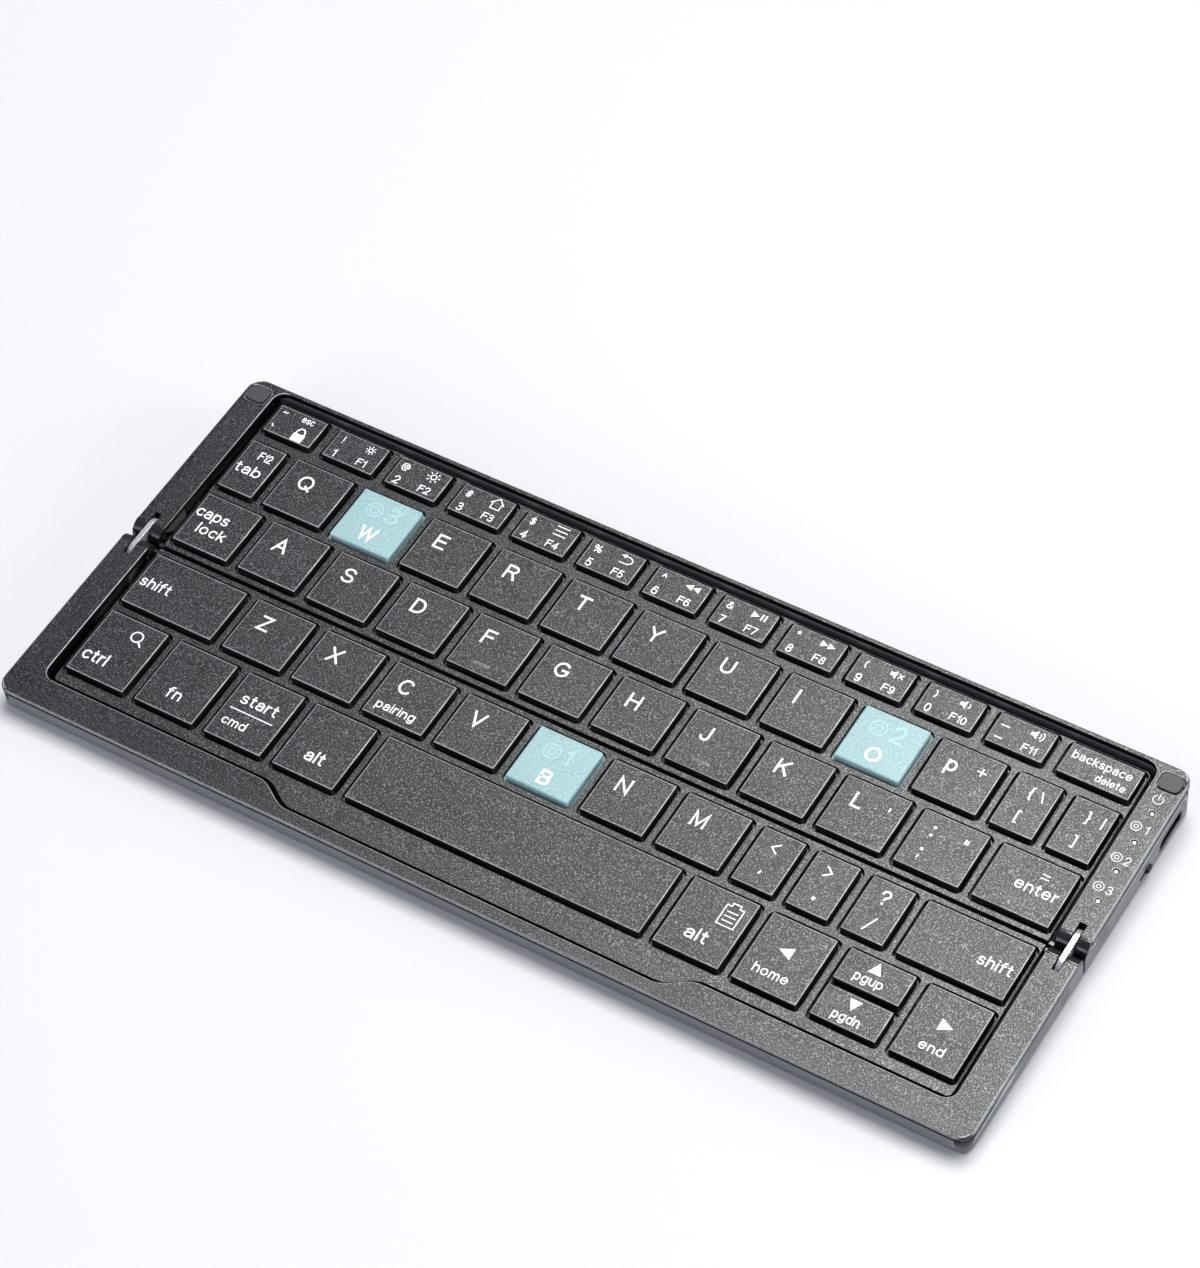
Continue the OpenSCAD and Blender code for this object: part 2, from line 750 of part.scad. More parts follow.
// The round top of a knuckle, from the fold back to the pin
module drum_cap(side, x) {
    intersection() {
        rod_x(x, side * pin_y, -pin_depth, pin_depth);
        span(side, x, [0, pin_y], [-pin_depth, CUT]);
    }
}

module link_slot(side, x) {
    reach = [x - link_t / 2 - slot_play, x + link_t / 2 + slot_play];
    rod_x(reach, side * pin_y, -pin_depth, slot_r);
    span(side, reach, [-CUT, pin_y], [-pin_depth - slot_r, CUT]);
    span(side, reach, [-CUT, pin_y + slot_r], [-pin_depth, CUT]);
}

module link(x) {
    reach = [x - link_t / 2, x + link_t / 2];
    difference() {
        union() {
            for (side = [-1, 1])
                rod_x(reach, side * pin_y, -pin_depth, link_r);
            translate([reach[0], -pin_y, -pin_depth - link_r])
                cube([link_t, 2 * pin_y, 2 * link_r]);
        }
        for (side = [-1, 1])
            rod_x([reach[0] - CUT, reach[1] + CUT], side * pin_y, -pin_depth, pin_r + pin_play);
    }
}

module left_link() { color(steel_colour) seated() link(-hinge_x); }
module right_link() { color(steel_colour) seated() link(hinge_x); }

module hinge_pins(side) {
    rod_x([pin_inner_x, pin_outer_x], side * pin_y, -pin_depth, pin_r);
    rod_x([-pin_outer_x, -pin_inner_x], side * pin_y, -pin_depth, pin_r);
}

module rear_hinge_pins() { color(steel_colour) seated() hinge_pins(1); }
module front_hinge_pins() { color(steel_colour) seated() hinge_pins(-1); }

module side_plugs(side, r) {
    rod_x([case_hw - plug_l, case_hw], side * plug_y, plug_z, r);
    rod_x([-case_hw, plug_l - case_hw], side * plug_y, plug_z, r);
}

module rear_side_plugs() { color(case_colour) seated() side_plugs(1, plug_r); }
module front_side_plugs() { color(case_colour) seated() side_plugs(-1, plug_r); }

// ---- Cases ----

// The case before it is hollowed, with its drums and its bevelled bottom
module case_outside(side) {
    ends = [[-case_hw, -inner_hw], [inner_hw, case_hw]];
    intersection() {
        union() {
            difference() {
                panel(side, panel_points(case_hw, fold_y, case_d, corner_r - reveal),
                      [-DEEP, -bezel_t]);
                span(side, [-body_hw - CUT, body_hw + CUT], [0, pin_y], [web_z, 0]);
            }
            for (x = ends)
                knuckle_front(side, x);
        }
        along_x([-body_hw - CUT, body_hw + CUT], case_limits(side));
        unseated()
            along_y([-half_d - CUT, half_d + CUT],
                    [[case_bevel - case_hw, foot_h], [case_hw - case_bevel, foot_h],
                     [case_hw, foot_h + case_bevel], [case_hw, DEEP],
                     [-case_hw, DEEP], [-case_hw, foot_h + case_bevel]]);
    }
}

// The drum and the end below it, as far back as the pin
module knuckle_front(side, x) {
    span(side, x, [fold_y, pin_y], [-DEEP, -pin_depth]);
    drum_cap(side, x);
}

// The case's side view, carried up past the drums
function case_limits(side) =
    [for (p = [[fold_y, CUT], [fold_y, under(side * fold_y)],
               [case_d - case_bevel, under(side * (case_d - case_bevel))],
               [case_d, under(side * case_d) + case_bevel], [case_d, CUT]])
        [side * p[0], p[1]]];

// The room inside, less the ribs, ledges, knuckles and bosses that stand in it
module case_inside(side, rib_xs, screw_ys) {
    inner = panel_points(case_inner_hw, fold_wall_y, case_inner_y, corner_r - wall);
    difference() {
        union() {
            panel(side, inner, [ledge_z, CUT]);
            intersection() {
                panel(side, inner, [-DEEP, CUT]);
                unseated()
                    translate([-body_hw, -half_d - CUT, foot_h + floor_t])
                        cube([2 * body_hw, 2 * half_d + 2 * CUT, 2 * DEEP]);
            }
        }
        for (x = [[-case_hw, -inner_hw], [inner_hw, case_hw]])
            span(side, x, [0, knuckle_y], [-DEEP, CUT]);
        span(side, [-plate_hw, plate_hw], [0, fold_wall_y + ledge_y], [-DEEP, ledge_z]);
        span(side, [-plate_hw, plate_hw], [case_inner_y - ledge_y, case_d], [-DEEP, ledge_z]);
        for (x = rib_xs)
            span(side, [x - rib_t / 2, x + rib_t / 2], [0, case_d], [-DEEP, ledge_z]);
        for (x = [-screw_x, screw_x], y = screw_ys)
            translate([x, side * y, -DEEP])
                cylinder(h = DEEP + post_z, r = boss_r);
    }
}

// Holes that every half has: pins, link slots, plugs, screws and the seats of the feet
module case_holes(side, screw_ys) {
    for (x = [-hinge_x, hinge_x])
        link_slot(side, x);
    rod_x([inner_hw - CUT, pin_outer_x + FIT], side * pin_y, -pin_depth, pin_r + 0.01);
    rod_x([-pin_outer_x - FIT, CUT - inner_hw], side * pin_y, -pin_depth, pin_r + 0.01);
    rod_x([case_hw - plug_l - FIT, case_hw + CUT], side * plug_y, plug_z, plug_r + 0.03);
    rod_x([-case_hw - CUT, plug_l + FIT - case_hw], side * plug_y, plug_z, plug_r + 0.03);
    for (x = [-screw_x, screw_x], y = screw_ys) {
        translate([x, side * y, -DEEP])
            cylinder(h = DEEP, r = shank_r + 0.1);
        translate([x, side * y, -DEEP])
            cylinder(h = DEEP + screw_seat_z, r = head_r + 0.15);
    }
    unseated()
        feet(side, FIT, foot_sink + FIT);
}

module rear_bottom_case() {
    color(case_colour) seated() difference() {
        case_outside(1);
        difference() {
            case_inside(1, rear_rib_xs, rear_screw_ys);
            for (x = board_rib_xs)
                span(1, [x - rib_t / 2, x + rib_t / 2], board_y, [-DEEP, board_z]);
        }
        case_holes(1, rear_screw_ys);
        usb_outline([case_inner_hw - CUT, case_hw + CUT], 2 * FIT, usb_outer_w, usb_outer_h);
        span(1, [case_inner_hw - CUT, case_hw + CUT],
             [switch_y - switch_travel - knob_w / 2 - 3 * knob_slot_play,
              switch_y + knob_w / 2 + 3 * knob_slot_play],
             [-socket_depth - knob_h / 2 - knob_slot_play,
              -socket_depth + knob_h / 2 + knob_slot_play]);
    }
}

module front_bottom_case() {
    color(case_colour) seated() difference() {
        case_outside(-1);
        case_inside(-1, front_rib_xs, front_screw_ys);
        case_holes(-1, front_screw_ys);
    }
}

module feet(side, room, top) {
    for (x = [-foot_x, foot_x], y = foot_ys)
        translate([x - foot_w / 2 - room, side * y - foot_d / 2 - room, room == 0 ? 0 : -CUT])
            linear_extrude(foot_h + top + (room == 0 ? 0 : CUT))
                polygon(rounded_points(foot_w + 2 * room, foot_d + 2 * room, foot_d / 2.2));
}

module rear_feet() { color("#3a3b3d") feet(1, 0, foot_sink); }
module front_feet() { color("#3a3b3d") feet(-1, 0, foot_sink); }

module screws(side, ys) {
    for (x = [-screw_x, screw_x], y = ys)
        translate([x, side * y, 0])
            difference() {
                union() {
                    translate([0, 0, screw_seat_z - head_t])
                        cylinder(h = head_t, r = head_r);
                    translate([0, 0, screw_seat_z - FIT])
                        cylinder(h = shank_top_z - screw_seat_z, r = shank_r);
                }
                for (a = [0, 90])
                    rotate([0, 0, a])
                        translate([-head_r * 0.6, -0.15, screw_seat_z - head_t - CUT])
                            cube([head_r * 1.2, 0.3, CUT + 0.4]);
            }
}

module rear_screws() { color(steel_colour) seated() screws(1, rear_screw_ys); }
module front_screws() { color(steel_colour) seated() screws(-1, front_screw_ys); }

// ---- Board, battery, socket and switch ----

module main_board() {
    color("#1f5a3a") seated() difference() {
        span(1, board_x, board_y, [board_z, board_z + board_t]);
        span(1, [usb_x - usb_l - FIT, body_hw],
             [usb_y - usb_outer_w / 2 - FIT, usb_y + usb_outer_w / 2 + FIT], [-DEEP, 0]);
    }
}

module battery() {
    color("#9aa0a6")
        translate([battery_x[0], battery_y[0], foot_h + floor_t])
            linear_extrude(battery_t)
                polygon(rounded_points(battery_x[1] - battery_x[0], battery_y[1] - battery_y[0], 1.5));
}

// The socket's outline, grown by room on every side and drawn along X
module usb_outline(x, room, w, h) {
    full_w = w + 2 * room;
    full_h = h + 2 * room;
    translate([x[0], usb_y - full_w / 2, -socket_depth - full_h / 2])
        rotate([90, 0, 90])
            linear_extrude(x[1] - x[0])
                polygon(rounded_points(full_w, full_h, full_h * 0.45));
}

module usb_port() {
    color(steel_colour) seated() union() {
        difference() {
            usb_outline([usb_x - usb_l, usb_x], 0, usb_outer_w, usb_outer_h);
            usb_outline([usb_x - usb_l + usb_back_t, usb_x + CUT], 0, usb_w, usb_h);
        }
        translate([usb_x - usb_l + usb_back_t - FIT, usb_y - tongue_w / 2, -socket_depth - tongue_t / 2])
            cube([tongue_l, tongue_w, tongue_t]);
    }
}

module power_switch() {
    color("#1b1c1e") seated() union() {
        translate([slider_x, switch_y - slider_w / 2, -socket_depth - slider_h / 2])
            cube([slider_t, slider_w, slider_h]);
        translate([slider_x, switch_y - knob_w / 2, -socket_depth - knob_h / 2])
            cube([case_hw + knob_proud - slider_x, knob_w, knob_h]);
    }
}

module switch_housing() {
    color(steel_colour) seated()
        translate([slider_x - FIT - housing_t, switch_y - switch_travel / 2 - housing_w / 2,
                   -socket_depth - housing_h / 2])
            cube([housing_t, housing_w, housing_h]);
}

rear_bezel();
rear_key_deck();
rear_bottom_case();
rear_base_plate();
rear_membrane();
main_board();
battery();
usb_port();
power_switch();
switch_housing();
status_lights();
bumper_pads();
rear_feet();
rear_screws();
rear_hinge_pins();
rear_side_plugs();
front_bezel();
front_key_deck();
front_bottom_case();
front_base_plate();
front_membrane();
front_feet();
front_screws();
front_hinge_pins();
front_side_plugs();
left_link();
right_link();
key_esc();
keys_1_to_5();
keys_6_to_minus();
key_backspace();
key_tab();
key_q();
key_w();
keys_e_r_t();
keys_y_u_i();
key_o();
key_p();
keys_brackets();
key_caps_lock();
keys_a_s_d();
key_f();
keys_g_h();
key_j();
keys_k_to_semicolon();
key_enter();
key_left_shift();
keys_z_x_c_v();
key_b();
keys_n_m();
keys_comma_to_slash();
key_right_shift();
keys_ctrl_fn_start();
key_left_alt();
space_bar();
key_right_alt();
key_left();
key_up();
key_down();
key_right();
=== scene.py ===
"""Looks of the folding keyboard: materials, key legends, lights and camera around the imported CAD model."""
import json
import math

import bmesh
import bpy
from mathutils import Matrix, Vector


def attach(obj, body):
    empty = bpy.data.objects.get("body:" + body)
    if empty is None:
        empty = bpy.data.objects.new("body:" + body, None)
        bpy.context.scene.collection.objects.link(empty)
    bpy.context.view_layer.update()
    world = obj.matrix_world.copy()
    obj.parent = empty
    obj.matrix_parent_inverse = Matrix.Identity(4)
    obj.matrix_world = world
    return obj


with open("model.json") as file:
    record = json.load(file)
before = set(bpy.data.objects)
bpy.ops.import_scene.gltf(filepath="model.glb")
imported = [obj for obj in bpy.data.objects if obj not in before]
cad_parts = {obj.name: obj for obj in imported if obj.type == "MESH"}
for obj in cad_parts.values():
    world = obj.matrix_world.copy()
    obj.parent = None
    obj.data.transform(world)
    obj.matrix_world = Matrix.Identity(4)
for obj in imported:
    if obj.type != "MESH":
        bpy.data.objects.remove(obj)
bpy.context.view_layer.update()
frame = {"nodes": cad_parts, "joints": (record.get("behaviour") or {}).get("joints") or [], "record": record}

MM = 0.001
WELD = 1e-6                     # corners closer than this, in m, are one corner
scene = bpy.context.scene
nodes = frame["nodes"]
bodies = frame["record"]["behaviour"]["bodies"]
body_of = {node: body for body, members in bodies.items() for node in members}
slot_of = {part["node"]: part["material_slot"] for part in frame["record"]["subparts"]}
joints = {joint["name"]: joint for joint in frame["joints"]}


# ---------------------------------------------------------------- camera and stage

# The photograph's camera: where it stands and the point of the floor it looks at, in m, its roll and its lens
CAMERA_SPOT = (0.256384, -0.380933, 0.571353)
CAMERA_TARGET = (-0.012715, 0.026342, 0)
CAMERA_ROLL = -3.10614          # degrees
CAMERA_LENS = 114.138           # mm

SKY, SKY_STRENGTH = (0.80, 0.87, 1.0, 1), 0.21
# Name, place and size in m, power in W, colour, and whether matt surfaces and mirroring ones see the lamp
LAMPS = (
    ("rear_box", (0.03, 0.56, 1.13), (0.50, 0.36), 18.5, (1.0, 0.985, 0.965), False, True),
    ("top_box", (0.05, 0.40, 1.30), (1.0, 0.8), 22, (1.0, 0.99, 0.975), True, False),
    ("right_card", (1.2, 0.5, 0.36), (0.8, 0.5), 10, (0.95, 0.97, 1.0), True, True),
    ("front_card", (-0.33, -1.2, 0.40), (0.9, 0.5), 7, (0.90, 0.95, 1.0), True, True),
    ("front_box", (-0.2, -0.9, 1.1), (1.0, 0.8), 3, (0.90, 0.95, 1.0), True, False),
)
FLOOR_HALF = 4.0                # m
PAPER, PAPER_ROUGHNESS = (0.64, 0.637, 0.655, 1), 0.65


def facing(spot, target):
    """The turn that points a camera or a lamp, which look along their own -Z, from a spot to a target."""
    return (Vector(target) - Vector(spot)).to_track_quat("-Z", "Y")


def aim_camera():
    data = bpy.data.cameras.new("camera")
    data.lens = CAMERA_LENS
    data.clip_start = 0.01
    camera = bpy.data.objects.new("camera", data)
    turn = facing(CAMERA_SPOT, CAMERA_TARGET).to_matrix() @ Matrix.Rotation(math.radians(CAMERA_ROLL), 3, "Z")
    camera.matrix_world = Matrix.Translation(CAMERA_SPOT) @ turn.to_4x4()
    scene.collection.objects.link(camera)
    scene.camera = camera


def light_studio():
    """Pale light all round and five soft lamps aimed at the keyboard. The dark plastic mirrors the box behind
    it, most at its right end, and the box above throws the soft shadows."""
    world = bpy.data.worlds.new("studio")
    world.use_nodes = True
    sky = world.node_tree.nodes["Background"]
    sky.inputs["Color"].default_value = SKY
    sky.inputs["Strength"].default_value = SKY_STRENGTH
    scene.world = world
    scene.view_settings.view_transform = "Standard"
    for name, spot, size, power, colour, lights_matt, lights_glossy in LAMPS:
        data = bpy.data.lights.new(name, "AREA")
        data.shape = "RECTANGLE"
        data.size, data.size_y = size
        data.energy = power
        data.color = colour
        lamp = bpy.data.objects.new(name, data)
        lamp.location = spot
        lamp.rotation_euler = facing(spot, (0, 0, 0)).to_euler()
        lamp.visible_diffuse = lights_matt
        lamp.visible_glossy = lights_glossy
        scene.collection.objects.link(lamp)


def lay_floor():
    mesh = bpy.data.meshes.new("floor")
    sides = ((-1, -1), (1, -1), (1, 1), (-1, 1))
    mesh.from_pydata([(x * FLOOR_HALF, y * FLOOR_HALF, 0) for x, y in sides], [], [(0, 1, 2, 3)])
    floor = bpy.data.objects.new("floor", mesh)
    scene.collection.objects.link(floor)
    paper = bpy.data.materials.new("paper")
    paper.use_nodes = True
    shader = paper.node_tree.nodes["Principled BSDF"]
    shader.inputs["Base Color"].default_value = PAPER
    shader.inputs["Roughness"].default_value = PAPER_ROUGHNESS
    mesh.materials.append(paper)


# ---------------------------------------------------------------- materials

PATCH_MM = 14                   # size of the patches in which a surface's roughness varies
GRAIN_WINDOW = (0.4, 0.6)       # heights of the grain between which its colour changes over
SPECK_WINDOW = (0.52, 0.64)     # the same where only the highest grains stand out
SPECK_SHINE = (0.38, 1.0)       # how strongly the low and the high grains mirror there


def surface(name, colour, roughness, grain, mottle, wear, grain_mm=0.2, metallic=0.0, brush=0.0, specks=0.0,
            **sockets):
    """A procedural material.

    grain is the height in mm of the moulded texture and grain_mm its size. mottle varies the colour with the
    grain, and wear varies the roughness in patches. brush stretches the grain along X, as on rolled metal.
    specks makes the highest grains lighter and shinier, as spark-eroded plastic shows them. sockets are the
    shader's own inputs, with _ for each space.
    """
    made = bpy.data.materials.new(name)
    made.use_nodes = True
    tree = made.node_tree
    link = tree.links.new
    shader = tree.nodes["Principled BSDF"]
    shader.inputs["Metallic"].default_value = metallic
    for socket, value in sockets.items():
        shader.inputs[socket.replace("_", " ")].default_value = value
    position = tree.nodes.new("ShaderNodeTexCoord")
    stretch = tree.nodes.new("ShaderNodeMapping")
    stretch.inputs["Scale"].default_value = (1 - brush, 1, 1)
    link(position.outputs["Object"], stretch.inputs["Vector"])

    def noise(size_mm, vector, detail):
        node = tree.nodes.new("ShaderNodeTexNoise")
        node.inputs["Scale"].default_value = 1 / (size_mm * MM)
        node.inputs["Detail"].default_value = detail
        node.inputs["Roughness"].default_value = 0.6
        link(vector, node.inputs["Vector"])
        return node.outputs["Fac"]

    def remap(value, low, high, start=0.3, end=0.7):
        node = tree.nodes.new("ShaderNodeMapRange")
        node.inputs["From Min"].default_value = start
        node.inputs["From Max"].default_value = end
        node.inputs["To Min"].default_value = low
        node.inputs["To Max"].default_value = high
        link(value, node.inputs["Value"])
        return node.outputs["Result"]

    fine = noise(grain_mm, stretch.outputs["Vector"], detail=3)
    patches = noise(PATCH_MM, position.outputs["Object"], detail=2)
    tone = tree.nodes.new("ShaderNodeMix")
    tone.data_type = "RGBA"
    tone.inputs["A"].default_value = (*[c * (1 - mottle) for c in colour], 1)
    tone.inputs["B"].default_value = (*[min(1, c * (1 + mottle) * (1 + specks)) for c in colour], 1)
    window = SPECK_WINDOW if specks else GRAIN_WINDOW
    link(remap(fine, 0, 1, *window), tone.inputs["Factor"])
    link(tone.outputs["Result"], shader.inputs["Base Color"])
    link(remap(patches, roughness - wear, roughness + wear), shader.inputs["Roughness"])
    if specks:
        link(remap(fine, *SPECK_SHINE, *window), shader.inputs["Specular IOR Level"])
    bump = tree.nodes.new("ShaderNodeBump")
    bump.inputs["Strength"].default_value = 1.0
    bump.inputs["Distance"].default_value = grain * MM
    link(fine, bump.inputs["Height"])
    link(bump.outputs["Normal"], shader.inputs["Normal"])
    return made


# The looks of the record's material slots, then of faces within them, which paint shade and highlights, then
# of the printed inks
LOOKS = {
    "key_plastic": dict(colour=(0.0030, 0.0031, 0.0037), roughness=0.31, grain=0.08, grain_mm=0.29,
                        mottle=0.5, wear=0.03, specks=18.0),
    "bezel_plastic": dict(colour=(0.0060, 0.0062, 0.0076), roughness=0.31, grain=0.07, grain_mm=0.28,
                          mottle=0.4, wear=0.03, specks=6.0),
    "deck_plastic": dict(colour=(0.016, 0.0163, 0.0186), roughness=0.32, grain=0.06, grain_mm=0.28,
                         mottle=0.5, wear=0.03, specks=3.0),
    "case_plastic": dict(colour=(0.085, 0.089, 0.103), roughness=0.33, grain=0.012, grain_mm=0.25,
                         mottle=0.15, wear=0.04, Specular_IOR_Level=0.9),
    "accent_key": dict(colour=(0.275, 0.435, 0.455), roughness=0.45, grain=0.05, grain_mm=0.29, mottle=0.16,
                       wear=0.03, Subsurface_Weight=0.15, Subsurface_Scale=0.0006),
    "switch_plastic": dict(colour=(0.006, 0.006, 0.007), roughness=0.45, grain=0.01, mottle=0.2, wear=0.05,
                           Specular_IOR_Level=0.2),
    "light_lens": dict(colour=(0.75, 0.78, 0.80), roughness=0.22, grain=0.004, mottle=0.05, wear=0.03,
                       Subsurface_Weight=0.4, Subsurface_Scale=0.0005),
    "bumper_rubber": dict(colour=(0.034, 0.035, 0.040), roughness=0.55, grain=0.012, grain_mm=0.25,
                          mottle=0.1, wear=0.05),
    "foot_rubber": dict(colour=(0.022, 0.022, 0.024), roughness=0.75, grain=0.015, grain_mm=0.3, mottle=0.2,
                        wear=0.05),
    "dome_rubber": dict(colour=(0.06, 0.06, 0.065), roughness=0.5, grain=0.006, mottle=0.06, wear=0.05,
                        Transmission_Weight=0.25),
    "plate_steel": dict(colour=(0.030, 0.030, 0.033), roughness=0.45, grain=0.004, grain_mm=0.3, mottle=0.12,
                        wear=0.06),
    "link_steel": dict(colour=(0.50, 0.50, 0.51), roughness=0.30, grain=0.003, grain_mm=0.1, mottle=0.06,
                       wear=0.04, metallic=0.5, brush=0.9),
    "screw_steel": dict(colour=(0.10, 0.10, 0.11), roughness=0.36, grain=0.004, grain_mm=0.1, mottle=0.15,
                        wear=0.05, metallic=1.0),
    "socket_steel": dict(colour=(0.09, 0.09, 0.093), roughness=0.30, grain=0.003, grain_mm=0.15, mottle=0.08,
                         wear=0.05, metallic=1.0),
    "board": dict(colour=(0.02, 0.12, 0.06), roughness=0.3, grain=0.004, grain_mm=0.4, mottle=0.15, wear=0.04,
                  Coat_Weight=0.4),
    "battery_pouch": dict(colour=(0.55, 0.56, 0.58), roughness=0.36, grain=0.02, grain_mm=1.2, mottle=0.05,
                          wear=0.06, metallic=0.8),

    # Painted shade: a near-black, hardly glossy look for faces that stand in shadow: the flanks of keys, the
    # walls and edges of the deck's wells, the parting groove, the inside of the cases and the bezels' outer
    # walls
    "painted_shade_black": dict(colour=(0.003, 0.003, 0.0035), roughness=0.5, grain=0.01, grain_mm=0.4, mottle=0.3,
                      wear=0.04, Specular_IOR_Level=0.12),
    "drum_plastic": dict(colour=(0.010, 0.010, 0.012), roughness=0.30, grain=0.004, grain_mm=0.4, mottle=0.2,
                         wear=0.05),
    # Painted highlights: light looks for the rounded edges of keys and bezels and for the bezels' outer
    # chamfer, where they catch the light
    "painted_highlight_key_rim": dict(colour=(0.27, 0.273, 0.283), roughness=0.30, grain=0.01, grain_mm=0.4, mottle=0.3,
                    wear=0.05),
    "painted_highlight_bezel_rim": dict(colour=(0.38, 0.385, 0.40), roughness=0.28, grain=0.01, grain_mm=0.4, mottle=0.3,
                      wear=0.05),
    "painted_highlight_chamfer": dict(colour=(0.15, 0.152, 0.160), roughness=0.3, grain=0.02, grain_mm=0.3, mottle=0.3,
                          wear=0.05),
    "plug_plastic": dict(colour=(0.045, 0.047, 0.055), roughness=0.3, grain=0.01, grain_mm=0.25, mottle=0.15,
                         wear=0.04),

    "legend_ink": dict(colour=(0.86, 0.87, 0.88), roughness=0.5, grain=0.004, grain_mm=0.25, mottle=0.04,
                       wear=0.05),
    "pale_ink": dict(colour=(0.35, 0.545, 0.57), roughness=0.5, grain=0.004, grain_mm=0.25, mottle=0.04,
                     wear=0.05),
    "grey_ink": dict(colour=(0.55, 0.56, 0.57), roughness=0.5, grain=0.004, grain_mm=0.25, mottle=0.06,
                     wear=0.05),
}
MATERIALS = {name: surface(name, **look) for name, look in LOOKS.items()}


# ---------------------------------------------------------------- the deck's own frame

# The deck leans a little, so legends and finishes are placed in its frame, in mm: x across from the middle, y
# back from the fold, and z up from the bezels' top faces
across = Vector((1, 0, 0))
normal = -Vector(joints["key_esc_press"]["axis"]).normalized()
back = normal.cross(across)
fold = (Vector(joints["rear_link_pivot"]["pos_m"]) + Vector(joints["front_link_pivot"]["pos_m"])) / 2
fold += normal * (max(v.co.dot(normal) for v in nodes["front_bezel"].data.vertices) - fold.dot(normal))
FLAT = 0.999                    # a face whose normal has this share along the deck's lies flat on it
SLACK_MM = 0.01                 # corners whose heights differ by less than this lie in one face


def place(x, y, z):
    """The point in the scene of a place on the deck."""
    return fold + (across * x + back * y + normal * z) * MM


def on_deck(point):
    """The place on the deck of a point in the scene."""
    offset = (point - fold) / MM
    return offset.dot(across), offset.dot(back), offset.dot(normal)


def weld(mesh):
    """A copy of a CAD mesh with its triangles joined at their corners. Its layer "mark" numbers the faces."""
    work = bmesh.new()
    work.from_mesh(mesh)
    mark = work.faces.layers.int.new("mark")
    for face in work.faces:
        face[mark] = face.index
    bmesh.ops.remove_doubles(work, verts=work.verts[:], dist=WELD)
    return work


def level(node):
    """The height on the deck of the broadest face that a node turns up."""
    tops = [face for face in nodes[node].data.polygons if face.normal.dot(normal) > FLAT]
    return on_deck(max(tops, key=lambda face: face.area).center)[2]


def corners(node):
    """The left front corner on the deck of the top of each of a node's solids, from left to right, or from
    the rear where they stand one behind the other."""
    height = level(node)
    work = weld(nodes[node].data)
    unseen, found = set(work.verts), []
    while unseen:
        queue, top = [unseen.pop()], []
        while queue:
            vert = queue.pop()
            x, y, z = on_deck(vert.co)
            if abs(z - height) < SLACK_MM:
                top.append((x, y))
            near = {edge.other_vert(vert) for edge in vert.link_edges} & unseen
            unseen -= near
            queue += near
        found.append((min(x for x, y in top), min(y for x, y in top)))
    work.free()
    return sorted(found, key=lambda corner: (round(corner[0], 1), -corner[1]))


# ---------------------------------------------------------------- finishes of the CAD nodes

# Width in mm of the rounding that a moulding tool leaves on the edges of each finish, and the looks of those
# roundings that differ: a painted highlight on keys and bezels, and painted shade along the deck's wells
EDGE = {"key_plastic": 0.10, "accent_key": 0.08, "bezel_plastic": 0.13, "deck_plastic": 0.12,
        "case_plastic": 0.1, "bumper_rubber": 0.1, "link_steel": 0.06, "switch_plastic": 0.05}
PAINTED_EDGE_LOOKS = {"key_plastic": "painted_highlight_key_rim", "deck_plastic": "painted_shade_black", "bezel_plastic": "painted_highlight_bezel_rim"}
TURN = math.radians(32)         # a sharper corner than this is an edge, a flatter one is part of a curve
CREASE = math.radians(0.5)      # a flatter one than this is no corner at all
TILT = math.radians(0.1)        # triangles that differ by less than this are one flat face

# Where one look or rule ends and the next begins. Heights on the deck, in mm:
KEY_TOP = -1.0                  # all edges of a key's top lie above this
GROOVE_EDGES = (-1.6, -0.9)     # all edges of the parting groove lie between these
GROOVE_FLOOR = (-1.25, -1.15)   # the groove's floor, on the case, lies between these
GROOVE_WALL = (-1.21, -0.94)    # and its wall, on the bezel, between these
DRUM_BOTTOM = -2.7              # the drums along the fold show above this
CASE_INSIDE = -5.0              # the cases' wells and ribs lie above this
# Distances from the fold, in mm:
DRUM_REACH, HINGE_REACH = 2.9, 9.0
# Bands inside the bezels' outline, with their width in mm at the ends and along the front and rear:
CHAMFER_BAND = (0.4, 0.4)       # the bezels' outer chamfer
OUTLINE_BAND = (1.0, 1.1)       # the chamfer's edges
OPENING_BAND = (0.8, 0.9)       # a bezel's walls further in are those of its openings
WALL_BAND = (1.5, 1.3)          # what lies further in is the inside of a case
# Shares of a face's normal along the deck's: a top has more than TOP, a wall less than WALL, and the chamfer
# more than CHAMFER. Its share across is less than DRUM_ACROSS on the drums at the fold.
TOP, WALL, CHAMFER, DRUM_ACROSS = 0.9, 0.7, 0.3, 0.2

bezel = [on_deck(vert.co) for vert in nodes["front_bezel"].data.vertices]
half_width = max(x for x, y, z in bezel)
half_depth = -min(y for x, y, z in bezel)


def in_band(band, *places):
    """Whether all the places lie in the band along one and the same side of the bezels' outline."""
    ends = min(abs(x) for x, y, z in places) > half_width - band[0]
    return ends or min(abs(y) for x, y, z in places) > half_depth - band[1]


def survey(mesh):
    """Numbers of the faces that bend into a neighbour by less than an edge does, and the edges' ends."""
    work = weld(mesh)
    mark = work.faces.layers.int["mark"]
    curved, edges = set(), set()
    for edge in work.edges:
        angle = edge.calc_face_angle(0) if len(edge.link_faces) == 2 else 0
        if angle >= TURN:
            edges.add(frozenset(tuple(vert.co) for vert in edge.verts))
        elif angle > CREASE:
            curved.update(face[mark] for face in edge.link_faces)
    work.free()
    return curved, edges


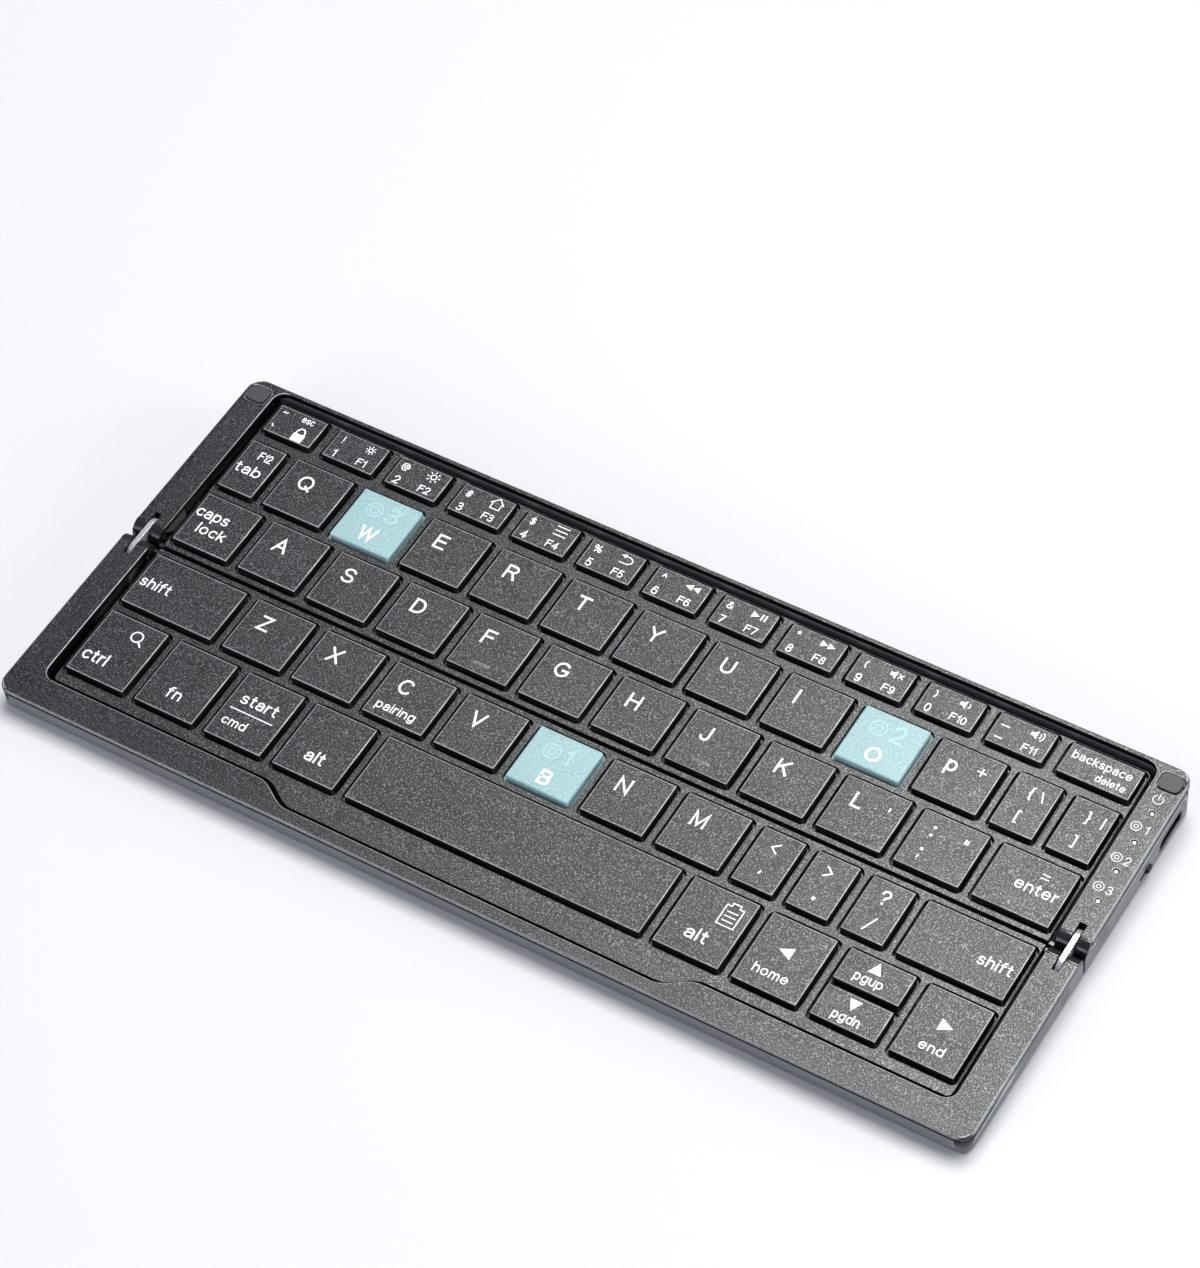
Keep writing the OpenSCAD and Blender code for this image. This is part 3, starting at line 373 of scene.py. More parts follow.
def mark_edges(mesh, edges, finish):
    """Marks the edges to be rounded: of a key, those of its top. The parting groove stays sharp, and so do
    the bezels' outline, which has a chamfer of its own, and their slots at the fold."""
    weight = mesh.attributes.new("bevel_weight_edge", "FLOAT", "EDGE").data
    for edge in mesh.edges:
        ends = [mesh.vertices[i].co for i in edge.vertices]
        if frozenset(tuple(end) for end in ends) not in edges:
            continue
        ends = [on_deck(end) for end in ends]
        low, high = sorted(z for x, y, z in ends)
        if finish == "key_plastic":
            sharp = low < KEY_TOP
        else:
            sharp = low > GROOVE_EDGES[0] and high < GROOVE_EDGES[1]
        if finish == "bezel_plastic":
            hinge = max(abs(y) for x, y, z in ends) < HINGE_REACH
            sharp = sharp or hinge or in_band(OUTLINE_BAND, *ends)
        weight[edge.index].value = 0.0 if sharp else 1.0


def second_finish(finish, face):
    """The look of a face that differs from its node's, or None.

    The flanks of keys, wells and bezel openings, the bezels' outer walls, the parting groove and the inside
    of the cases get painted shade, near black. The bezels' outer chamfer gets a painted highlight, and the
    drums along the fold a look of their own.
    """
    spot = on_deck(face.center)
    x, y, z = spot
    rise = face.normal.dot(normal)
    # Painted shade on the flanks of keys and on the walls of the deck's wells
    if finish in ("key_plastic", "deck_plastic"):
        return None if rise > TOP else "painted_shade_black"
    if finish not in ("bezel_plastic", "case_plastic"):
        return None
    on_case = finish == "case_plastic"
    # Painted shade on the parting groove's floor
    if on_case and rise > TOP and GROOVE_FLOOR[0] < z < GROOVE_FLOOR[1]:
        return "painted_shade_black"
    round_wall = abs(face.normal.dot(across)) < DRUM_ACROSS and rise < FLAT
    if abs(y) < DRUM_REACH and z > DRUM_BOTTOM and (on_case or round_wall):
        return "drum_plastic"
    # Painted shade on the inside of the cases
    if on_case:
        return "painted_shade_black" if z > CASE_INSIDE and not in_band(WALL_BAND, spot) else None
    # A painted highlight on the bezels' outer chamfer, and painted shade on their outer walls
    if rise < TOP and in_band(CHAMFER_BAND, spot):
        return "painted_highlight_chamfer" if rise > CHAMFER else "painted_shade_black"
    # Painted shade on the parting groove's wall and on the openings' walls
    if rise < WALL and (GROOVE_WALL[0] < z < GROOVE_WALL[1] or not in_band(OPENING_BAND, spot)):
        return "painted_shade_black"
    return None


def add_modifiers(piece, finish):
    """Joins a node's triangles into whole faces, rounds its marked edges and shades its flats evenly."""
    joined = piece.modifiers.new("weld", "WELD")
    joined.merge_threshold = WELD
    whole = piece.modifiers.new("whole_faces", "DECIMATE")
    whole.decimate_type = "DISSOLVE"
    whole.angle_limit = TILT
    whole.delimit = {"MATERIAL"}
    if finish in EDGE:
        bevel = piece.modifiers.new("edges", "BEVEL")
        bevel.width = EDGE[finish] * MM
        bevel.segments = 2
        bevel.limit_method = "WEIGHT"
        bevel.use_clamp_overlap = False
        # The roundings get a painted highlight on keys and bezels, and painted shade on the deck's wells
        if finish in PAINTED_EDGE_LOOKS:
            piece.data.materials.append(MATERIALS[PAINTED_EDGE_LOOKS[finish]])
            bevel.material = len(piece.data.materials) - 1
    else:
        crease = piece.modifiers.new("creases", "EDGE_SPLIT")
        crease.split_angle = TURN
    flat = piece.modifiers.new("flats", "WEIGHTED_NORMAL")
    flat.mode = "FACE_AREA"
    flat.weight = 100


def finish_nodes():
    """Gives every CAD node its looks, with painted shade and painted highlights on some of its faces, smooth
    curves and rounded edges.
    """
    for name, piece in nodes.items():
        finish = slot_of[name]
        mesh = piece.data
        mesh.materials.clear()
        mesh.materials.append(MATERIALS[finish])
        curved, edges = survey(mesh)
        for face in mesh.polygons:
            face.use_smooth = face.index in curved
            other = "plug_plastic" if name.endswith("side_plugs") else second_finish(finish, face)
            if other:
                look = MATERIALS[other]
                if look.name not in mesh.materials:
                    mesh.materials.append(look)
                face.material_index = mesh.materials.find(look.name)
        if finish in EDGE:
            mark_edges(mesh, edges, finish)
        add_modifiers(piece, finish)


# ---------------------------------------------------------------- flat drawing, in mm

INK_DEPTH = 0.02                # thickness of the ink, of which a quarter lies below the surface
INK_SUNK = INK_DEPTH / 4
LAYER, LAYERS = 0.0006, 0.006   # each line lies a LAYER above the one before, and at LAYERS they start again
MITRE = 0.35                    # cosine of half the sharpest turn that a corner's mitre follows in full
DISC_STEPS = 20


class Print:
    """Flat shapes on a node, in mm from the left front corner of one of its tops. stamp() inks them."""

    def __init__(self, node, tops=None):
        """tops names the node whose tops are drawn from, where that is another one."""
        self.node = node
        self.tops = corners(tops or node)
        self.corner = self.tops[0]
        self.points, self.faces, self.lift = [], [], 0.0

    def go_to(self, number):
        """Draws from the corner of the top of that number, counted from 0, from here on."""
        self.corner = self.tops[number]

    def face(self, points):
        start = len(self.points)
        self.points += [(self.corner[0] + p[0], self.corner[1] + p[1], self.lift) for p in points]
        self.faces.append(list(range(start, start + len(points))))

    def line(self, points, width, closed=False):
        """A line through the points, with mitred corners."""
        self.lift = (self.lift + LAYER) % LAYERS
        count = len(points)
        rails = []
        for i, point in enumerate(points):
            here, ways = Vector(point), []
            if i or closed:
                ways.append((here - Vector(points[i - 1])).normalized())
            if i < count - 1 or closed:
                ways.append((Vector(points[(i + 1) % count]) - here).normalized())
            way = sum(ways, Vector((0, 0))).normalized()
            side = Vector((-way.y, way.x))
            reach = width / 2 / max(MITRE, side.dot(Vector((-ways[0].y, ways[0].x))))
            rails.append((here + side * reach, here - side * reach))
        for i in range(count if closed else count - 1):
            (a, b), (c, d) = rails[i], rails[(i + 1) % count]
            self.face([b, d, c, a])

    def stroke(self, points, width):
        """A line with square ends that reach half its width past its last points; a loop is closed."""
        if points[0] == points[-1] and len(points) > 3:
            self.line(points[:-1], width, closed=True)
            return
        points = [Vector(p) for p in points]
        for end, other in ((0, 1), (-1, -2)):
            points[end] = points[end] + (points[end] - points[other]).normalized() * width / 2
        self.line(points, width)

    def disc(self, x, y, radius):
        turns = [2 * math.pi * i / DISC_STEPS for i in range(DISC_STEPS)]
        self.face([(x + radius * math.cos(t), y + radius * math.sin(t)) for t in turns])

    def ring(self, x, y, radius, width, steps=24, start=0.0, end=360.0):
        """A circle's line, or the arc from start to end in degrees."""
        whole = end - start >= 360
        count = steps if whole else steps + 1
        turns = [math.radians(start + (end - start) * i / steps) for i in range(count)]
        self.line([(x + radius * math.cos(t), y + radius * math.sin(t)) for t in turns], width, closed=whole)

    def triangle(self, x, y, size, heading):
        """A solid triangle about its middle that points to heading, in degrees."""
        turn = Matrix.Rotation(math.radians(heading), 2)
        self.face([Vector((x, y)) + turn @ Vector(p) * size for p in ((0.5, 0), (-0.5, 0.5), (-0.5, -0.5))])

    def bar(self, x0, y0, x1, y1):
        self.face([(x0, y0), (x1, y0), (x1, y1), (x0, y1)])

    def word(self, text, x, y, height, width=None, middle=False, weight=0.13):
        """Text with its baseline at y, and its left end or, where middle is set, its middle at x.

        height is that of the capitals, or of the small letters in a word that has no others. width stretches
        the word to that length, and weight is the stroke's share of the capitals' height.
        """
        capital = height / (SMALL + (1 - SMALL) * weight) if text.islower() else height
        stroke = capital * weight
        unit = capital - stroke
        strokes, pen = [], 0.0
        for letter in text:
            paths = glyph(letter)
            left = min(px for path in paths for px, _ in path)
            right = max(px for path in paths for px, _ in path)
            strokes += [[(px - left + pen, py) for px, py in path] for path in paths]
            pen += right - left + SPACING + stroke / unit
        length = (pen - SPACING) * unit - stroke
        scale = (width - stroke) / length if width else 1.0
        start = x + stroke / 2
        if middle:
            start -= (length * scale + stroke) / 2
        for path in strokes:
            self.stroke([(start + px * unit * scale, y + stroke / 2 + py * unit) for px, py in path], stroke)

    def stamp(self, prefix="legend_", ink="legend_ink"):
        """Makes the drawing as ink on the node's broadest top, on the body that carries the node."""
        node = self.node
        z = level(node) - INK_SUNK
        mesh = bmesh.new()
        made = [mesh.verts.new(point) for point in self.points]
        for face in self.faces:
            mesh.faces.new([made[i] for i in face])
        for face in mesh.faces:
            face.normal_update()
            if face.normal.z < 0:
                face.normal_flip()
        top = bmesh.ops.extrude_face_region(mesh, geom=mesh.faces[:])
        lifted = [item for item in top["geom"] if isinstance(item, bmesh.types.BMVert)]
        bmesh.ops.translate(mesh, verts=lifted, vec=(0, 0, INK_DEPTH))
        bmesh.ops.recalc_face_normals(mesh, faces=mesh.faces[:])
        for vert in mesh.verts:
            vert.co = place(vert.co.x, vert.co.y, vert.co.z + z)
        data = bpy.data.meshes.new(prefix + node)
        mesh.to_mesh(data)
        mesh.free()
        data.materials.append(MATERIALS[ink])
        piece = bpy.data.objects.new(prefix + node, data)
        scene.collection.objects.link(piece)
        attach(piece, body_of[node])


# A plain upright alphabet drawn with one stroke width. The capitals' strokes run from 0 to 1 and the small
# letters' to SMALL, and SPACING parts them. Points are x,y; @cx,cy,rx,ry,a,b is the arc of an ellipse from a
# to b in degrees; and ; starts a new stroke.
SMALL, SPACING = 0.7, 0.13
GLYPHS = {
    "A": "0,0 .42,1 .84,0;.15,.34 .69,.34",
    "B": "0,0 0,1 .38,1 @.38,.765,.26,.235,90,-90 0,.53;.4,.53 @.4,.265,.3,.265,90,-90 0,0",
    "C": "@.42,.5,.42,.5,45,315", "D": "0,0 0,1 .3,1 @.3,.5,.44,.5,90,-90 0,0",
    "E": ".68,0 0,0 0,1 .66,1;0,.53 .6,.53", "F": "0,0 0,1 .62,1;0,.53 .54,.53",
    "G": "@.44,.5,.44,.5,48,318 .84,.26 .84,.46 .5,.46", "H": "0,0 0,1;.72,0 .72,1;0,.53 .72,.53",
    "I": "0,0 0,1", "J": "@.25,.26,.25,.26,195,360 .5,1", "K": "0,0 0,1;.68,1 0,.36;.26,.6 .72,0",
    "L": "0,1 0,0 .56,0", "M": "0,0 0,1 .41,.08 .82,1 .82,0", "N": "0,0 0,1 .72,0 .72,1",
    "O": "@.46,.5,.46,.5,0,360", "Q": "@.46,.5,.46,.5,0,360;.56,.24 .9,-.05",
    "R": "0,0 0,1 .42,1 @.42,.755,.26,.245,90,-90 0,.51;.34,.51 .46,.46 .72,0",
    "S": "@.36,.745,.32,.255,25,262 @.36,.255,.36,.255,82,-155", "T": "0,1 .74,1;.37,0 .37,1",
    "U": "0,1 0,.36 @.36,.36,.36,.36,180,360 .72,1", "V": "0,1 .4,0 .8,1",
    "W": "0,1 .27,0 .55,1 .83,0 1.1,1", "X": "0,0 .74,1;0,1 .74,0",
    "Y": "0,1 .39,.46 .78,1;.39,0 .39,.46", "Z": "0,1 .68,1 0,0 .7,0",
    "a": "@.25,.47,.23,.23,160,0 .48,0;.48,.42 .2,.38 @.19,.19,.19,.19,90,270 .3,0 .48,.17",
    "b": "0,0 0,1;@.27,.35,.27,.35,0,360", "c": "@.28,.35,.28,.35,45,315",
    "d": ".54,0 .54,1;@.27,.35,.27,.35,0,360", "e": "0,.37 .55,.37 @.28,.35,.28,.35,4,318",
    "f": ".12,0 .12,.8 @.3,.8,.18,.2,180,80;0,.7 .3,.7",
    "g": "@.27,.35,.27,.35,0,360;.54,.7 .54,-.04 @.28,-.04,.26,.26,0,-150",
    "h": "0,0 0,1;0,.42 @.25,.42,.25,.28,180,0 .5,0", "i": "0,0 0,.7;0,.97 0,.98",
    "k": "0,0 0,1;.44,.7 0,.26;.16,.42 .48,0", "l": "0,0 0,1",
    "m": "0,0 0,.7;0,.44 @.2,.44,.2,.26,180,0 .4,0;.4,.44 @.6,.44,.2,.26,180,0 .8,0",
    "n": "0,0 0,.7;0,.42 @.25,.42,.25,.28,180,0 .5,0", "o": "@.28,.35,.28,.35,0,360",
    "p": "0,-.3 0,.7;@.27,.35,.27,.35,0,360", "r": "0,0 0,.7;0,.38 @.26,.38,.26,.32,180,90",
    "s": "@.23,.52,.2,.18,28,262 @.23,.175,.23,.175,82,-152",
    "t": ".12,.94 .12,.17 @.28,.17,.16,.17,180,275;0,.7 .28,.7",
    "u": "0,.7 0,.26 @.24,.26,.24,.26,180,360;.48,0 .48,.7", "0": "@.28,.5,.28,.5,0,360",
    "1": "0,.76 .18,.86 .27,1 .27,0", "2": "@.28,.72,.27,.28,170,-35 0,0 .57,0",
    "3": "@.27,.765,.24,.235,155,-90 .18,.53;.18,.53 .27,.53 @.28,.265,.28,.265,90,-155",
    "4": ".44,0 .44,1 0,.3 .62,.3", "5": ".5,1 .1,1 .04,.52 @.27,.32,.28,.32,125,-150",
    "6": "@.29,.31,.28,.31,0,360;@.32,.5,.31,.5,50,180 .01,.31", "7": "0,1 .56,1 .18,0",
    "8": "@.28,.76,.23,.24,0,360;@.28,.26,.28,.26,0,360",
    "9": "@.27,.69,.27,.31,0,360;@.24,.5,.3,.5,230,360 .54,.69", "!": "0,.34 0,1;0,0 0,.01",
    "@": "@.5,.42,.2,.24,0,360;.74,.68 .7,.32 @.84,.4,.14,.18,200,360 @.5,.42,.5,.56,0,300",
    "#": "0,.3 .62,.3;.05,.7 .67,.7;.16,0 .28,1;.42,0 .54,1",
    "$": "@.3,.71,.26,.19,25,262 @.3,.28,.28,.24,82,-155;.3,-.12 .3,1.06",
    "%": "@.17,.76,.17,.24,0,360;@.77,.24,.17,.24,0,360;.2,0 .74,1", "^": "0,.5 .24,1 .48,.5",
    "&": ".72,0 .16,.66 @.3,.82,.16,.18,205,-35 .08,.42 @.26,.25,.26,.25,140,300 .68,.42",
    "*": ".2,.78 .2,1;.2,.78 .01,.85;.2,.78 .08,.6;.2,.78 .32,.6;.2,.78 .39,.85",
    "(": "@.5,.4,.5,.68,130,230", ")": "@0,.4,.5,.68,50,-50",
    "~": "0,.42 .1,.55 .22,.55 .38,.44 .5,.44 .6,.57", "`": "0,1 .16,.8",
    "{": ".24,1.05 .12,1 .12,.56 0,.42 .12,.28 .12,-.16 .24,-.21",
    "}": "0,1.05 .12,1 .12,.56 .24,.42 .12,.28 .12,-.16 0,-.21", "[": ".2,1.05 0,1.05 0,-.2 .2,-.2",
    "]": "0,1.05 .2,1.05 .2,-.2 0,-.2", "\\": "0,1 .38,0", "|": "0,1.05 0,-.2", "'": "0,.7 0,1",
    '"': "0,.7 0,1;.22,.7 .22,1", ",": ".06,.05 .06,0 0,-.16",
    "?": "@.27,.74,.26,.26,175,-50 .27,.44 .27,.32;.27,0 .27,.01",
}
ARC_STEP = 15                   # degrees


def glyph(letter):
    """The strokes of a letter as lists of points, rounded so that a full turn ends where it began."""
    paths = []
    for piece in GLYPHS[letter].split(";"):
        path = []
        for item in piece.split():
            values = [float(v) for v in item.strip("@").split(",")]
            if item[0] != "@":
                path.append(tuple(values))
                continue
            cx, cy, rx, ry, start, end = values
            steps = max(3, round(abs(end - start) / ARC_STEP))
            turns = [math.radians(start + (end - start) * i / steps) for i in range(steps + 1)]
            path += [(round(cx + rx * math.cos(t), 4), round(cy + ry * math.sin(t), 4)) for t in turns]
        paths.append([point for i, point in enumerate(path) if not i or point != path[i - 1]])
    return paths


# ---------------------------------------------------------------- legends

# Places are in mm from the left front corner of each key's top
THIN, LINE = 0.22, 0.3          # stroke widths of the icons


# Icons about their middle x, y, with r as half their width

def icon_sun(ink, x, y, r):
    ink.ring(x, y, r * 0.42, THIN, 14)
    for i in range(8):
        ray = Vector((math.cos(i * math.pi / 4), math.sin(i * math.pi / 4))) * r
        ink.line([Vector((x, y)) + ray * 0.68, Vector((x, y)) + ray], THIN)


def icon_house(ink, x, y, r):
    ink.line([(x - r, y), (x, y + r * 0.95), (x + r, y)], THIN)
    wall, foot, eaves = r * 0.66, y - r * 0.85, y + r * 0.2
    ink.line([(x - wall, eaves), (x - wall, foot), (x + wall, foot), (x + wall, eaves)], THIN)


def icon_menu(ink, x, y, r):
    for step in (-0.75, 0, 0.75):
        ink.line([(x - r, y + step * r), (x + r, y + step * r)], THIN)


def icon_return(ink, x, y, r):
    path = ((-0.9, -0.75), (0.45, -0.75), (0.95, -0.3), (0.95, 0.15), (0.45, 0.55), (-0.6, 0.55))
    ink.line([(x + r * px, y + r * py) for px, py in path], THIN)
    ink.triangle(x - r * 0.7, y + r * 0.55, r * 0.75, 180)


def icon_rewind(ink, x, y, r):
    ink.triangle(x - r * 0.55, y, r, 180)
    ink.triangle(x + r * 0.5, y, r, 180)


def icon_forward(ink, x, y, r):
    ink.triangle(x - r * 0.5, y, r, 0)
    ink.triangle(x + r * 0.55, y, r, 0)


def icon_play(ink, x, y, r):
    ink.triangle(x - r * 0.6, y, r * 1.1, 0)
    for left in (0.2, 0.72):
        ink.bar(x + r * left, y - r * 0.55, x + r * (left + 0.25), y + r * 0.55)


def icon_speaker(ink, x, y, r):
    shape = ((-1, -0.3), (-0.55, -0.3), (-0.05, -0.75), (-0.05, 0.75), (-0.55, 0.3), (-1, 0.3))
    ink.face([(x + r * px, y + r * py) for px, py in shape])


def icon_mute(ink, x, y, r):
    icon_speaker(ink, x, y, r)
    for slope in (0.4, -0.4):
        ink.line([(x + r * 0.3, y - r * slope), (x + r, y + r * slope)], THIN)


def icon_volume_down(ink, x, y, r):
    icon_speaker(ink, x, y, r)
    ink.ring(x - r * 0.05, y, r * 0.55, THIN, 8, -50, 50)


def icon_volume_up(ink, x, y, r):
    icon_volume_down(ink, x, y, r)
    ink.ring(x - r * 0.05, y, r * 1.0, THIN, 10, -50, 50)


def icon_lock(ink, x, y):
    """A padlock about the middle of its case's top edge."""
    ink.bar(x - 1.25, y - 1.9, x + 1.25, y)
    shackle = ((-0.85, -0.1), (-0.85, 0.6), (-0.5, 1.2), (0, 1.4), (0.5, 1.2), (0.85, 0.6), (0.85, -0.1))
    ink.line([(x + px, y + py) for px, py in shackle], 0.32)


def icon_plus(ink, x, y, reach):
    ink.line([(x - reach, y), (x + reach, y)], LINE)
    ink.line([(x, y - reach), (x, y + reach)], LINE)


def icon_magnifier(ink, x, y):
    """A magnifying glass about the middle of its lens."""
    ink.ring(x, y, 1.15, LINE)
    ink.line([(x + 0.85, y - 0.85), (x + 1.8, y - 1.8)], 0.35)


def icon_power(ink, x, y):
    """The on-off sign about the middle of its ring."""
    ink.ring(x, y, 0.95, 0.24, 18, -240, 60)
    ink.line([(x, y + 0.1), (x, y + 1.3)], 0.24)


def icon_clipboard(ink, x, y):
    """A clipboard about the middle of its foot."""
    side = ((1.7, 0), (1.7, 4.25), (0.8, 4.25), (0.8, 4.95))
    board = [(-1.7, 0)] + list(side) + [(-px, py) for px, py in side[:0:-1]]
    ink.line([(x + px, y + py) for px, py in board], THIN, closed=True)
    for row in (3.05, 2.05, 1.05):
        ink.line([(x - 1.1, y + row), (x + 1.1, y + row)], THIN)


# Digit, the sign above it, the function's name, and its icon with its r. The last key's first two are bars.
NUMBER_KEYS = [
    ("1", "!", "F1", icon_sun, 1.05), ("2", "@", "F2", icon_sun, 1.4),
    ("3", "#", "F3", icon_house, 1.45), ("4", "$", "F4", icon_menu, 1.35),
    ("5", "%", "F5", icon_return, 1.3), ("6", "^", "F6", icon_rewind, 1.45),
    ("7", "&", "F7", icon_play, 1.4), ("8", "*", "F8", icon_forward, 1.45),
    ("9", "(", "F9", icon_mute, 1.3), ("0", ")", "F10", icon_volume_down, 1.3),
    ("-", "_", "F11", icon_volume_up, 1.3),
]
DIGIT, SIGN, NAME, ICON = (1.87, 0.37), (1.82, 4.02), (7.92, 0.72), (7.92, 5.07)
DIGIT_HEIGHT, SIGN_HEIGHT, NAME_HEIGHT = 1.95, 1.75, 1.75
DASH, UNDERSCORE = (1.07, 1.22, 2.57, 1.52), (0.92, 4.12, 2.72, 4.37)


def print_number_row():
    keys = iter(NUMBER_KEYS)
    for node in ("keys_1_to_5", "keys_6_to_minus"):
        ink = Print(node)
        for number in range(len(ink.tops)):
            ink.go_to(number)
            digit, sign, name, icon, r = next(keys)
            if digit == "-":
                ink.bar(*DASH)
                ink.bar(*UNDERSCORE)
            else:
                ink.word(digit, *DIGIT, DIGIT_HEIGHT, middle=True)
                ink.word(sign, *SIGN, SIGN_HEIGHT, middle=True)
            ink.word(name, *NAME, NAME_HEIGHT, middle=True)
            icon(ink, *ICON, r)
        ink.stamp()


def print_escape():
    ink = Print("key_esc")
    ink.word("~", 1.52, 4.62, 1.7, middle=True)
    ink.word("`", 0.92, -0.38, 2.4, middle=True)
    ink.word("esc", 5.42, 4.82, 1.25, width=2.7)
    icon_lock(ink, 7.02, 2.02)
    ink.stamp()


# The letters' baseline, and each node's letters from left to right
LETTER_ROWS = (
    (6.27, {"key_q": "Q", "keys_e_r_t": "ERT", "keys_y_u_i": "YUI", "key_p": "p"}),
    (6.37, {"keys_a_s_d": "ASD", "key_f": "F", "keys_g_h": "GH", "key_j": "J", "keys_k_to_semicolon": "KL"}),
    (6.27, {"keys_z_x_c_v": "ZXCV", "keys_n_m": "NM"}),
)
LETTER_LEFT, LETTER_HEIGHT, SMALL_LETTER_HEIGHT = 3.02, 3.4, 2.5


def add_plus(ink):
    """The sign on p's key."""
    icon_plus(ink, 9.51, 8.67, 0.9)


def add_semicolon(ink):
    """The apostrophe behind L, and the signs of the key to its right."""
    ink.word("'", 10.0, 7.02, 2.3, middle=True)
    ink.go_to(2)
    ink.disc(3.31, 7.57, 0.33)
    ink.disc(3.31, 9.37, 0.33)
    ink.word('"', 9.71, 7.02, 2.6, middle=True)
    ink.disc(3.31, 4.22, 0.33)
    ink.word(",", 3.31, 2.52, 2.2, middle=True)


def add_pairing(ink):
    """The word below C."""
    ink.go_to(2)
    ink.word("pairing", 1.49, 1.62, 1.5, width=8.25)


EXTRAS = {"key_p": add_plus, "keys_k_to_semicolon": add_semicolon, "keys_z_x_c_v": add_pairing}


def print_letters():
    for baseline, keys in LETTER_ROWS:
        for node, letters in keys.items():
            ink = Print(node)
            for number, letter in enumerate(letters):
                ink.go_to(number)
                height = SMALL_LETTER_HEIGHT if letter.islower() else LETTER_HEIGHT
                ink.word(letter, LETTER_LEFT, baseline, height)
            if node in EXTRAS:
                EXTRAS[node](ink)
            ink.stamp()


# Blue keys: letter, its middle and baseline, and the channel's number with its width
ACCENTS = {"key_w": ("W", 6.23, 1.37, "3", 2.6), "key_o": ("O", 6.05, 1.37, "2", 2.6),
           "key_b": ("B", 6.41, 1.07, "1", 1.3)}


def print_accent_keys():
    """On each blue key its letter, and above it a faint pair of rings with the channel's number."""
    for node, (letter, x, y, digit, width) in ACCENTS.items():
        ink = Print(node)
        ink.word(letter, x, y, 3.3, middle=True, weight=0.155)
        ink.stamp()
        faint = Print(node)
        for radius, line in ((1.6, 0.3), (0.8, 0.25)):
            faint.ring(x - 1.9, y + 7.3, radius, line)
        faint.word(digit, x + 0.8, y + 5.55, 3.9, width=width)
        faint.stamp("ring_", "pale_ink")


# Keys with words alone: text, left end, baseline, height and width
WORDS = {
    "key_backspace": (("backspace", 0.92, 3.72, 1.4, 11.75), ("delete", 6.82, 0.87, 1.25, 5.85)),
    "key_tab": (("F12", 3.12, 8.57, 2.0, 2.9), ("tab", 0.42, 4.37, 1.85, 5.6)),
    "key_caps_lock": (("caps", 0.27, 6.77, 1.95, 7.15), ("lock", 2.62, 3.22, 1.85, 6.3)),
    "key_left_shift": (("shift", 0.62, 4.62, 1.8, 6.5),),
    "key_right_shift": (("shift", 12.94, 4.62, 1.8, 6.5),),
    "key_left_alt": (("alt", 4.37, 3.27, 2.0, 3.9),),
}
# Arrow keys: the arrow's middle, size and heading, then its word as above
ARROWS = {
    "key_left": (5.77, 8.77, 2.6, 180, "home", 2.27, 2.62, 1.5, 6.85),
    "key_up": (5.92, 4.945, 2.5, 90, "pgup", 2.92, 1.195, 1.5, 5.55),
    "key_down": (5.92, 4.67, 2.4, 270, "pgdn", 3.32, 0.92, 1.5, 5.35),
    "key_right": (6.37, 8.52, 2.6, 0, "end", 3.77, 2.62, 1.5, 4.75),
}


def print_words():
    for node, words in WORDS.items():
        ink = Print(node)
        for word in words:
            ink.word(*word)
        ink.stamp()
    for node, (x, y, size, heading, *word) in ARROWS.items():
        ink = Print(node)
        ink.triangle(x, y, size, heading)
        ink.word(*word)
        ink.stamp()


# The signs of the two bracket keys: middle, baseline and height
BRACKETS = ((("{", 3.72, 7.77, 2.5), ("\\", 5.92, 7.77, 2.3), ("[", 3.82, 2.12, 2.4)),
            (("}", 3.82, 7.77, 2.5), ("|", 6.72, 7.92, 2.2), ("]", 3.82, 2.12, 2.4)))


def print_brackets():
    ink = Print("keys_brackets")
    for number, signs in enumerate(BRACKETS):
        ink.go_to(number)
        for sign in signs:
            ink.word(*sign, middle=True)
    ink.stamp()


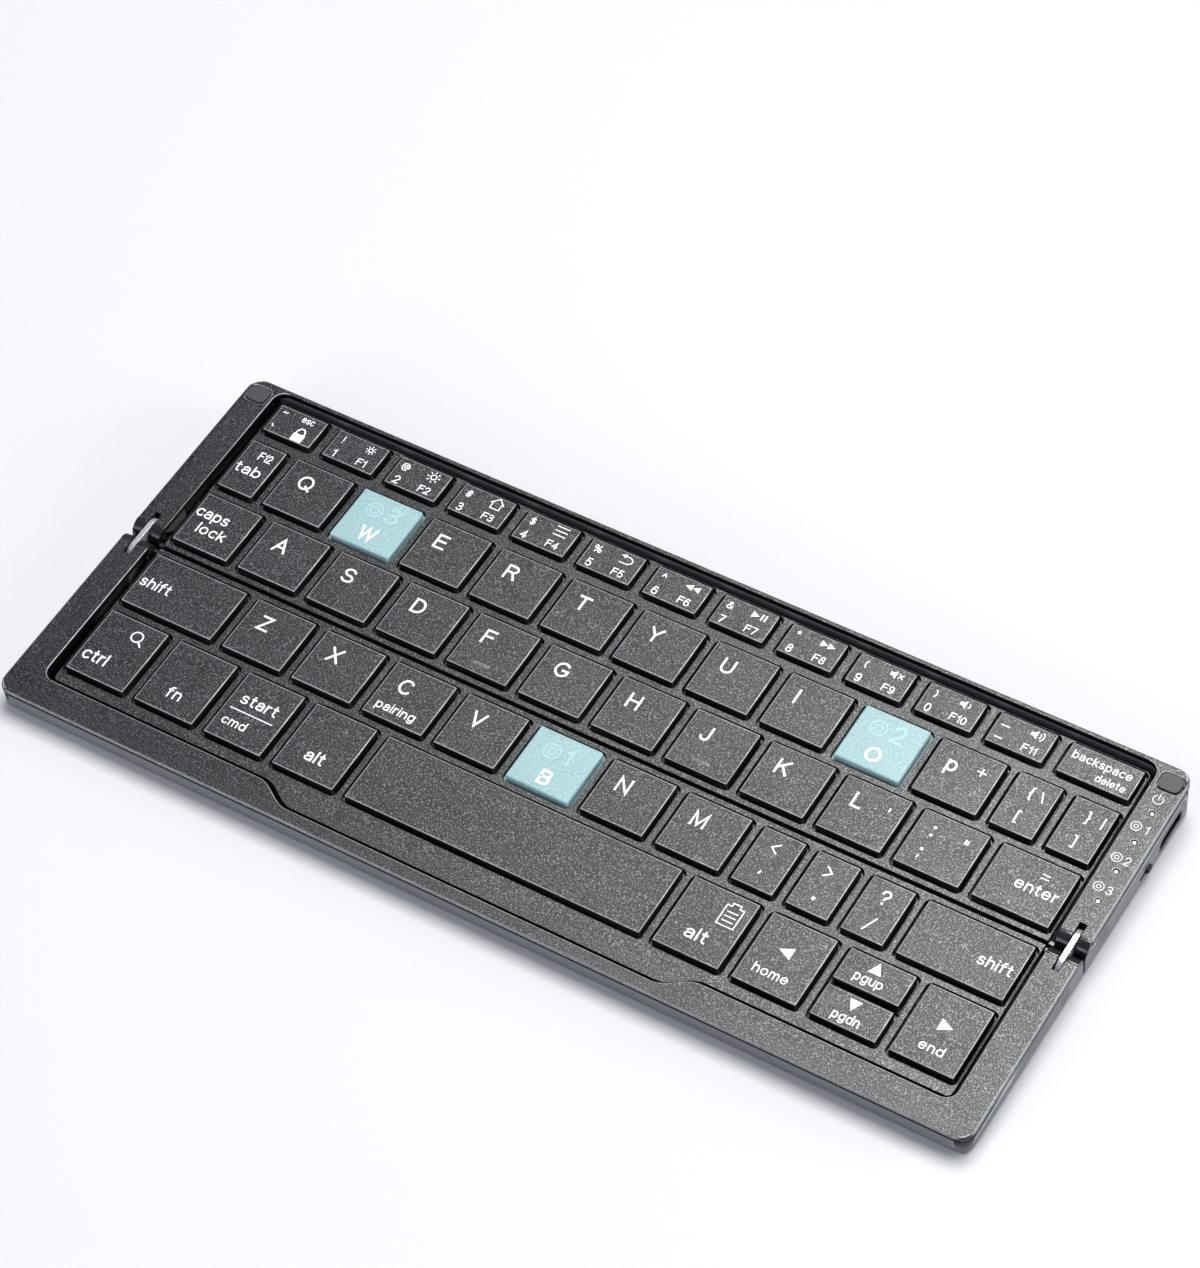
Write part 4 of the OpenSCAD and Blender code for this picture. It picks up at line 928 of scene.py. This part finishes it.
def print_enter():
    ink = Print("key_enter")
    for y in (9.57, 8.72):
        ink.line([(8.87, y), (10.47, y)], THIN)
    ink.word("enter", 5.32, 4.87, 1.8, width=8.25)
    ink.stamp()


def print_comma_to_slash():
    ink = Print("keys_comma_to_slash")
    ink.line([(4.49, 10.12), (3.09, 8.97), (4.49, 7.82)], LINE)
    ink.word(",", 3.79, 3.22, 2.6, middle=True)
    ink.go_to(1)
    ink.line([(2.84, 10.12), (4.24, 8.97), (2.84, 7.82)], LINE)
    ink.disc(3.84, 2.87, 0.38)
    ink.go_to(2)
    ink.word("?", 3.89, 7.42, 3.1, middle=True)
    ink.line([(3.29, 1.22), (4.79, 4.52)], LINE)
    ink.stamp()


def print_ctrl_fn_start():
    ink = Print("keys_ctrl_fn_start")
    ink.word("ctrl", 0.92, 3.12, 2.1, width=5.25)
    icon_magnifier(ink, 7.82, 11.82)
    ink.go_to(1)
    ink.word("fn", 4.47, 3.02, 1.9, width=3.1)
    ink.go_to(2)
    ink.word("start", 2.07, 8.37, 1.9, width=7.7)
    ink.line([(1.17, 6.77), (10.42, 6.77)], THIN)
    ink.word("cmd", 1.42, 3.02, 1.5, width=5.1)
    ink.stamp()


def print_right_alt():
    ink = Print("key_right_alt")
    ink.word("alt", 4.07, 3.17, 2.0, width=4.25)
    icon_clipboard(ink, 9.52, 8.27)
    ink.stamp()


def print_status_signs():
    """Beside the status lights: the power sign, then a pair of rings with each channel's number."""
    ink = Print("rear_bezel", tops="status_lights")
    icon_power(ink, -0.025, 3.5)
    for number, y in ((1, 3.65), (2, 3.1), (3, 3.15)):
        ink.go_to(number)
        ink.ring(-0.925, y, 0.95, THIN, 18)
        ink.ring(-0.925, y, 0.4, 0.2, 12)
        ink.word(str(number), 1.175, y - 0.95, 1.9, middle=True)
    ink.stamp(ink="grey_ink")


aim_camera()
light_studio()
lay_floor()
finish_nodes()
print_number_row()
print_escape()
print_letters()
print_accent_keys()
print_words()
print_brackets()
print_enter()
print_comma_to_slash()
print_ctrl_fn_start()
print_right_alt()
print_status_signs()
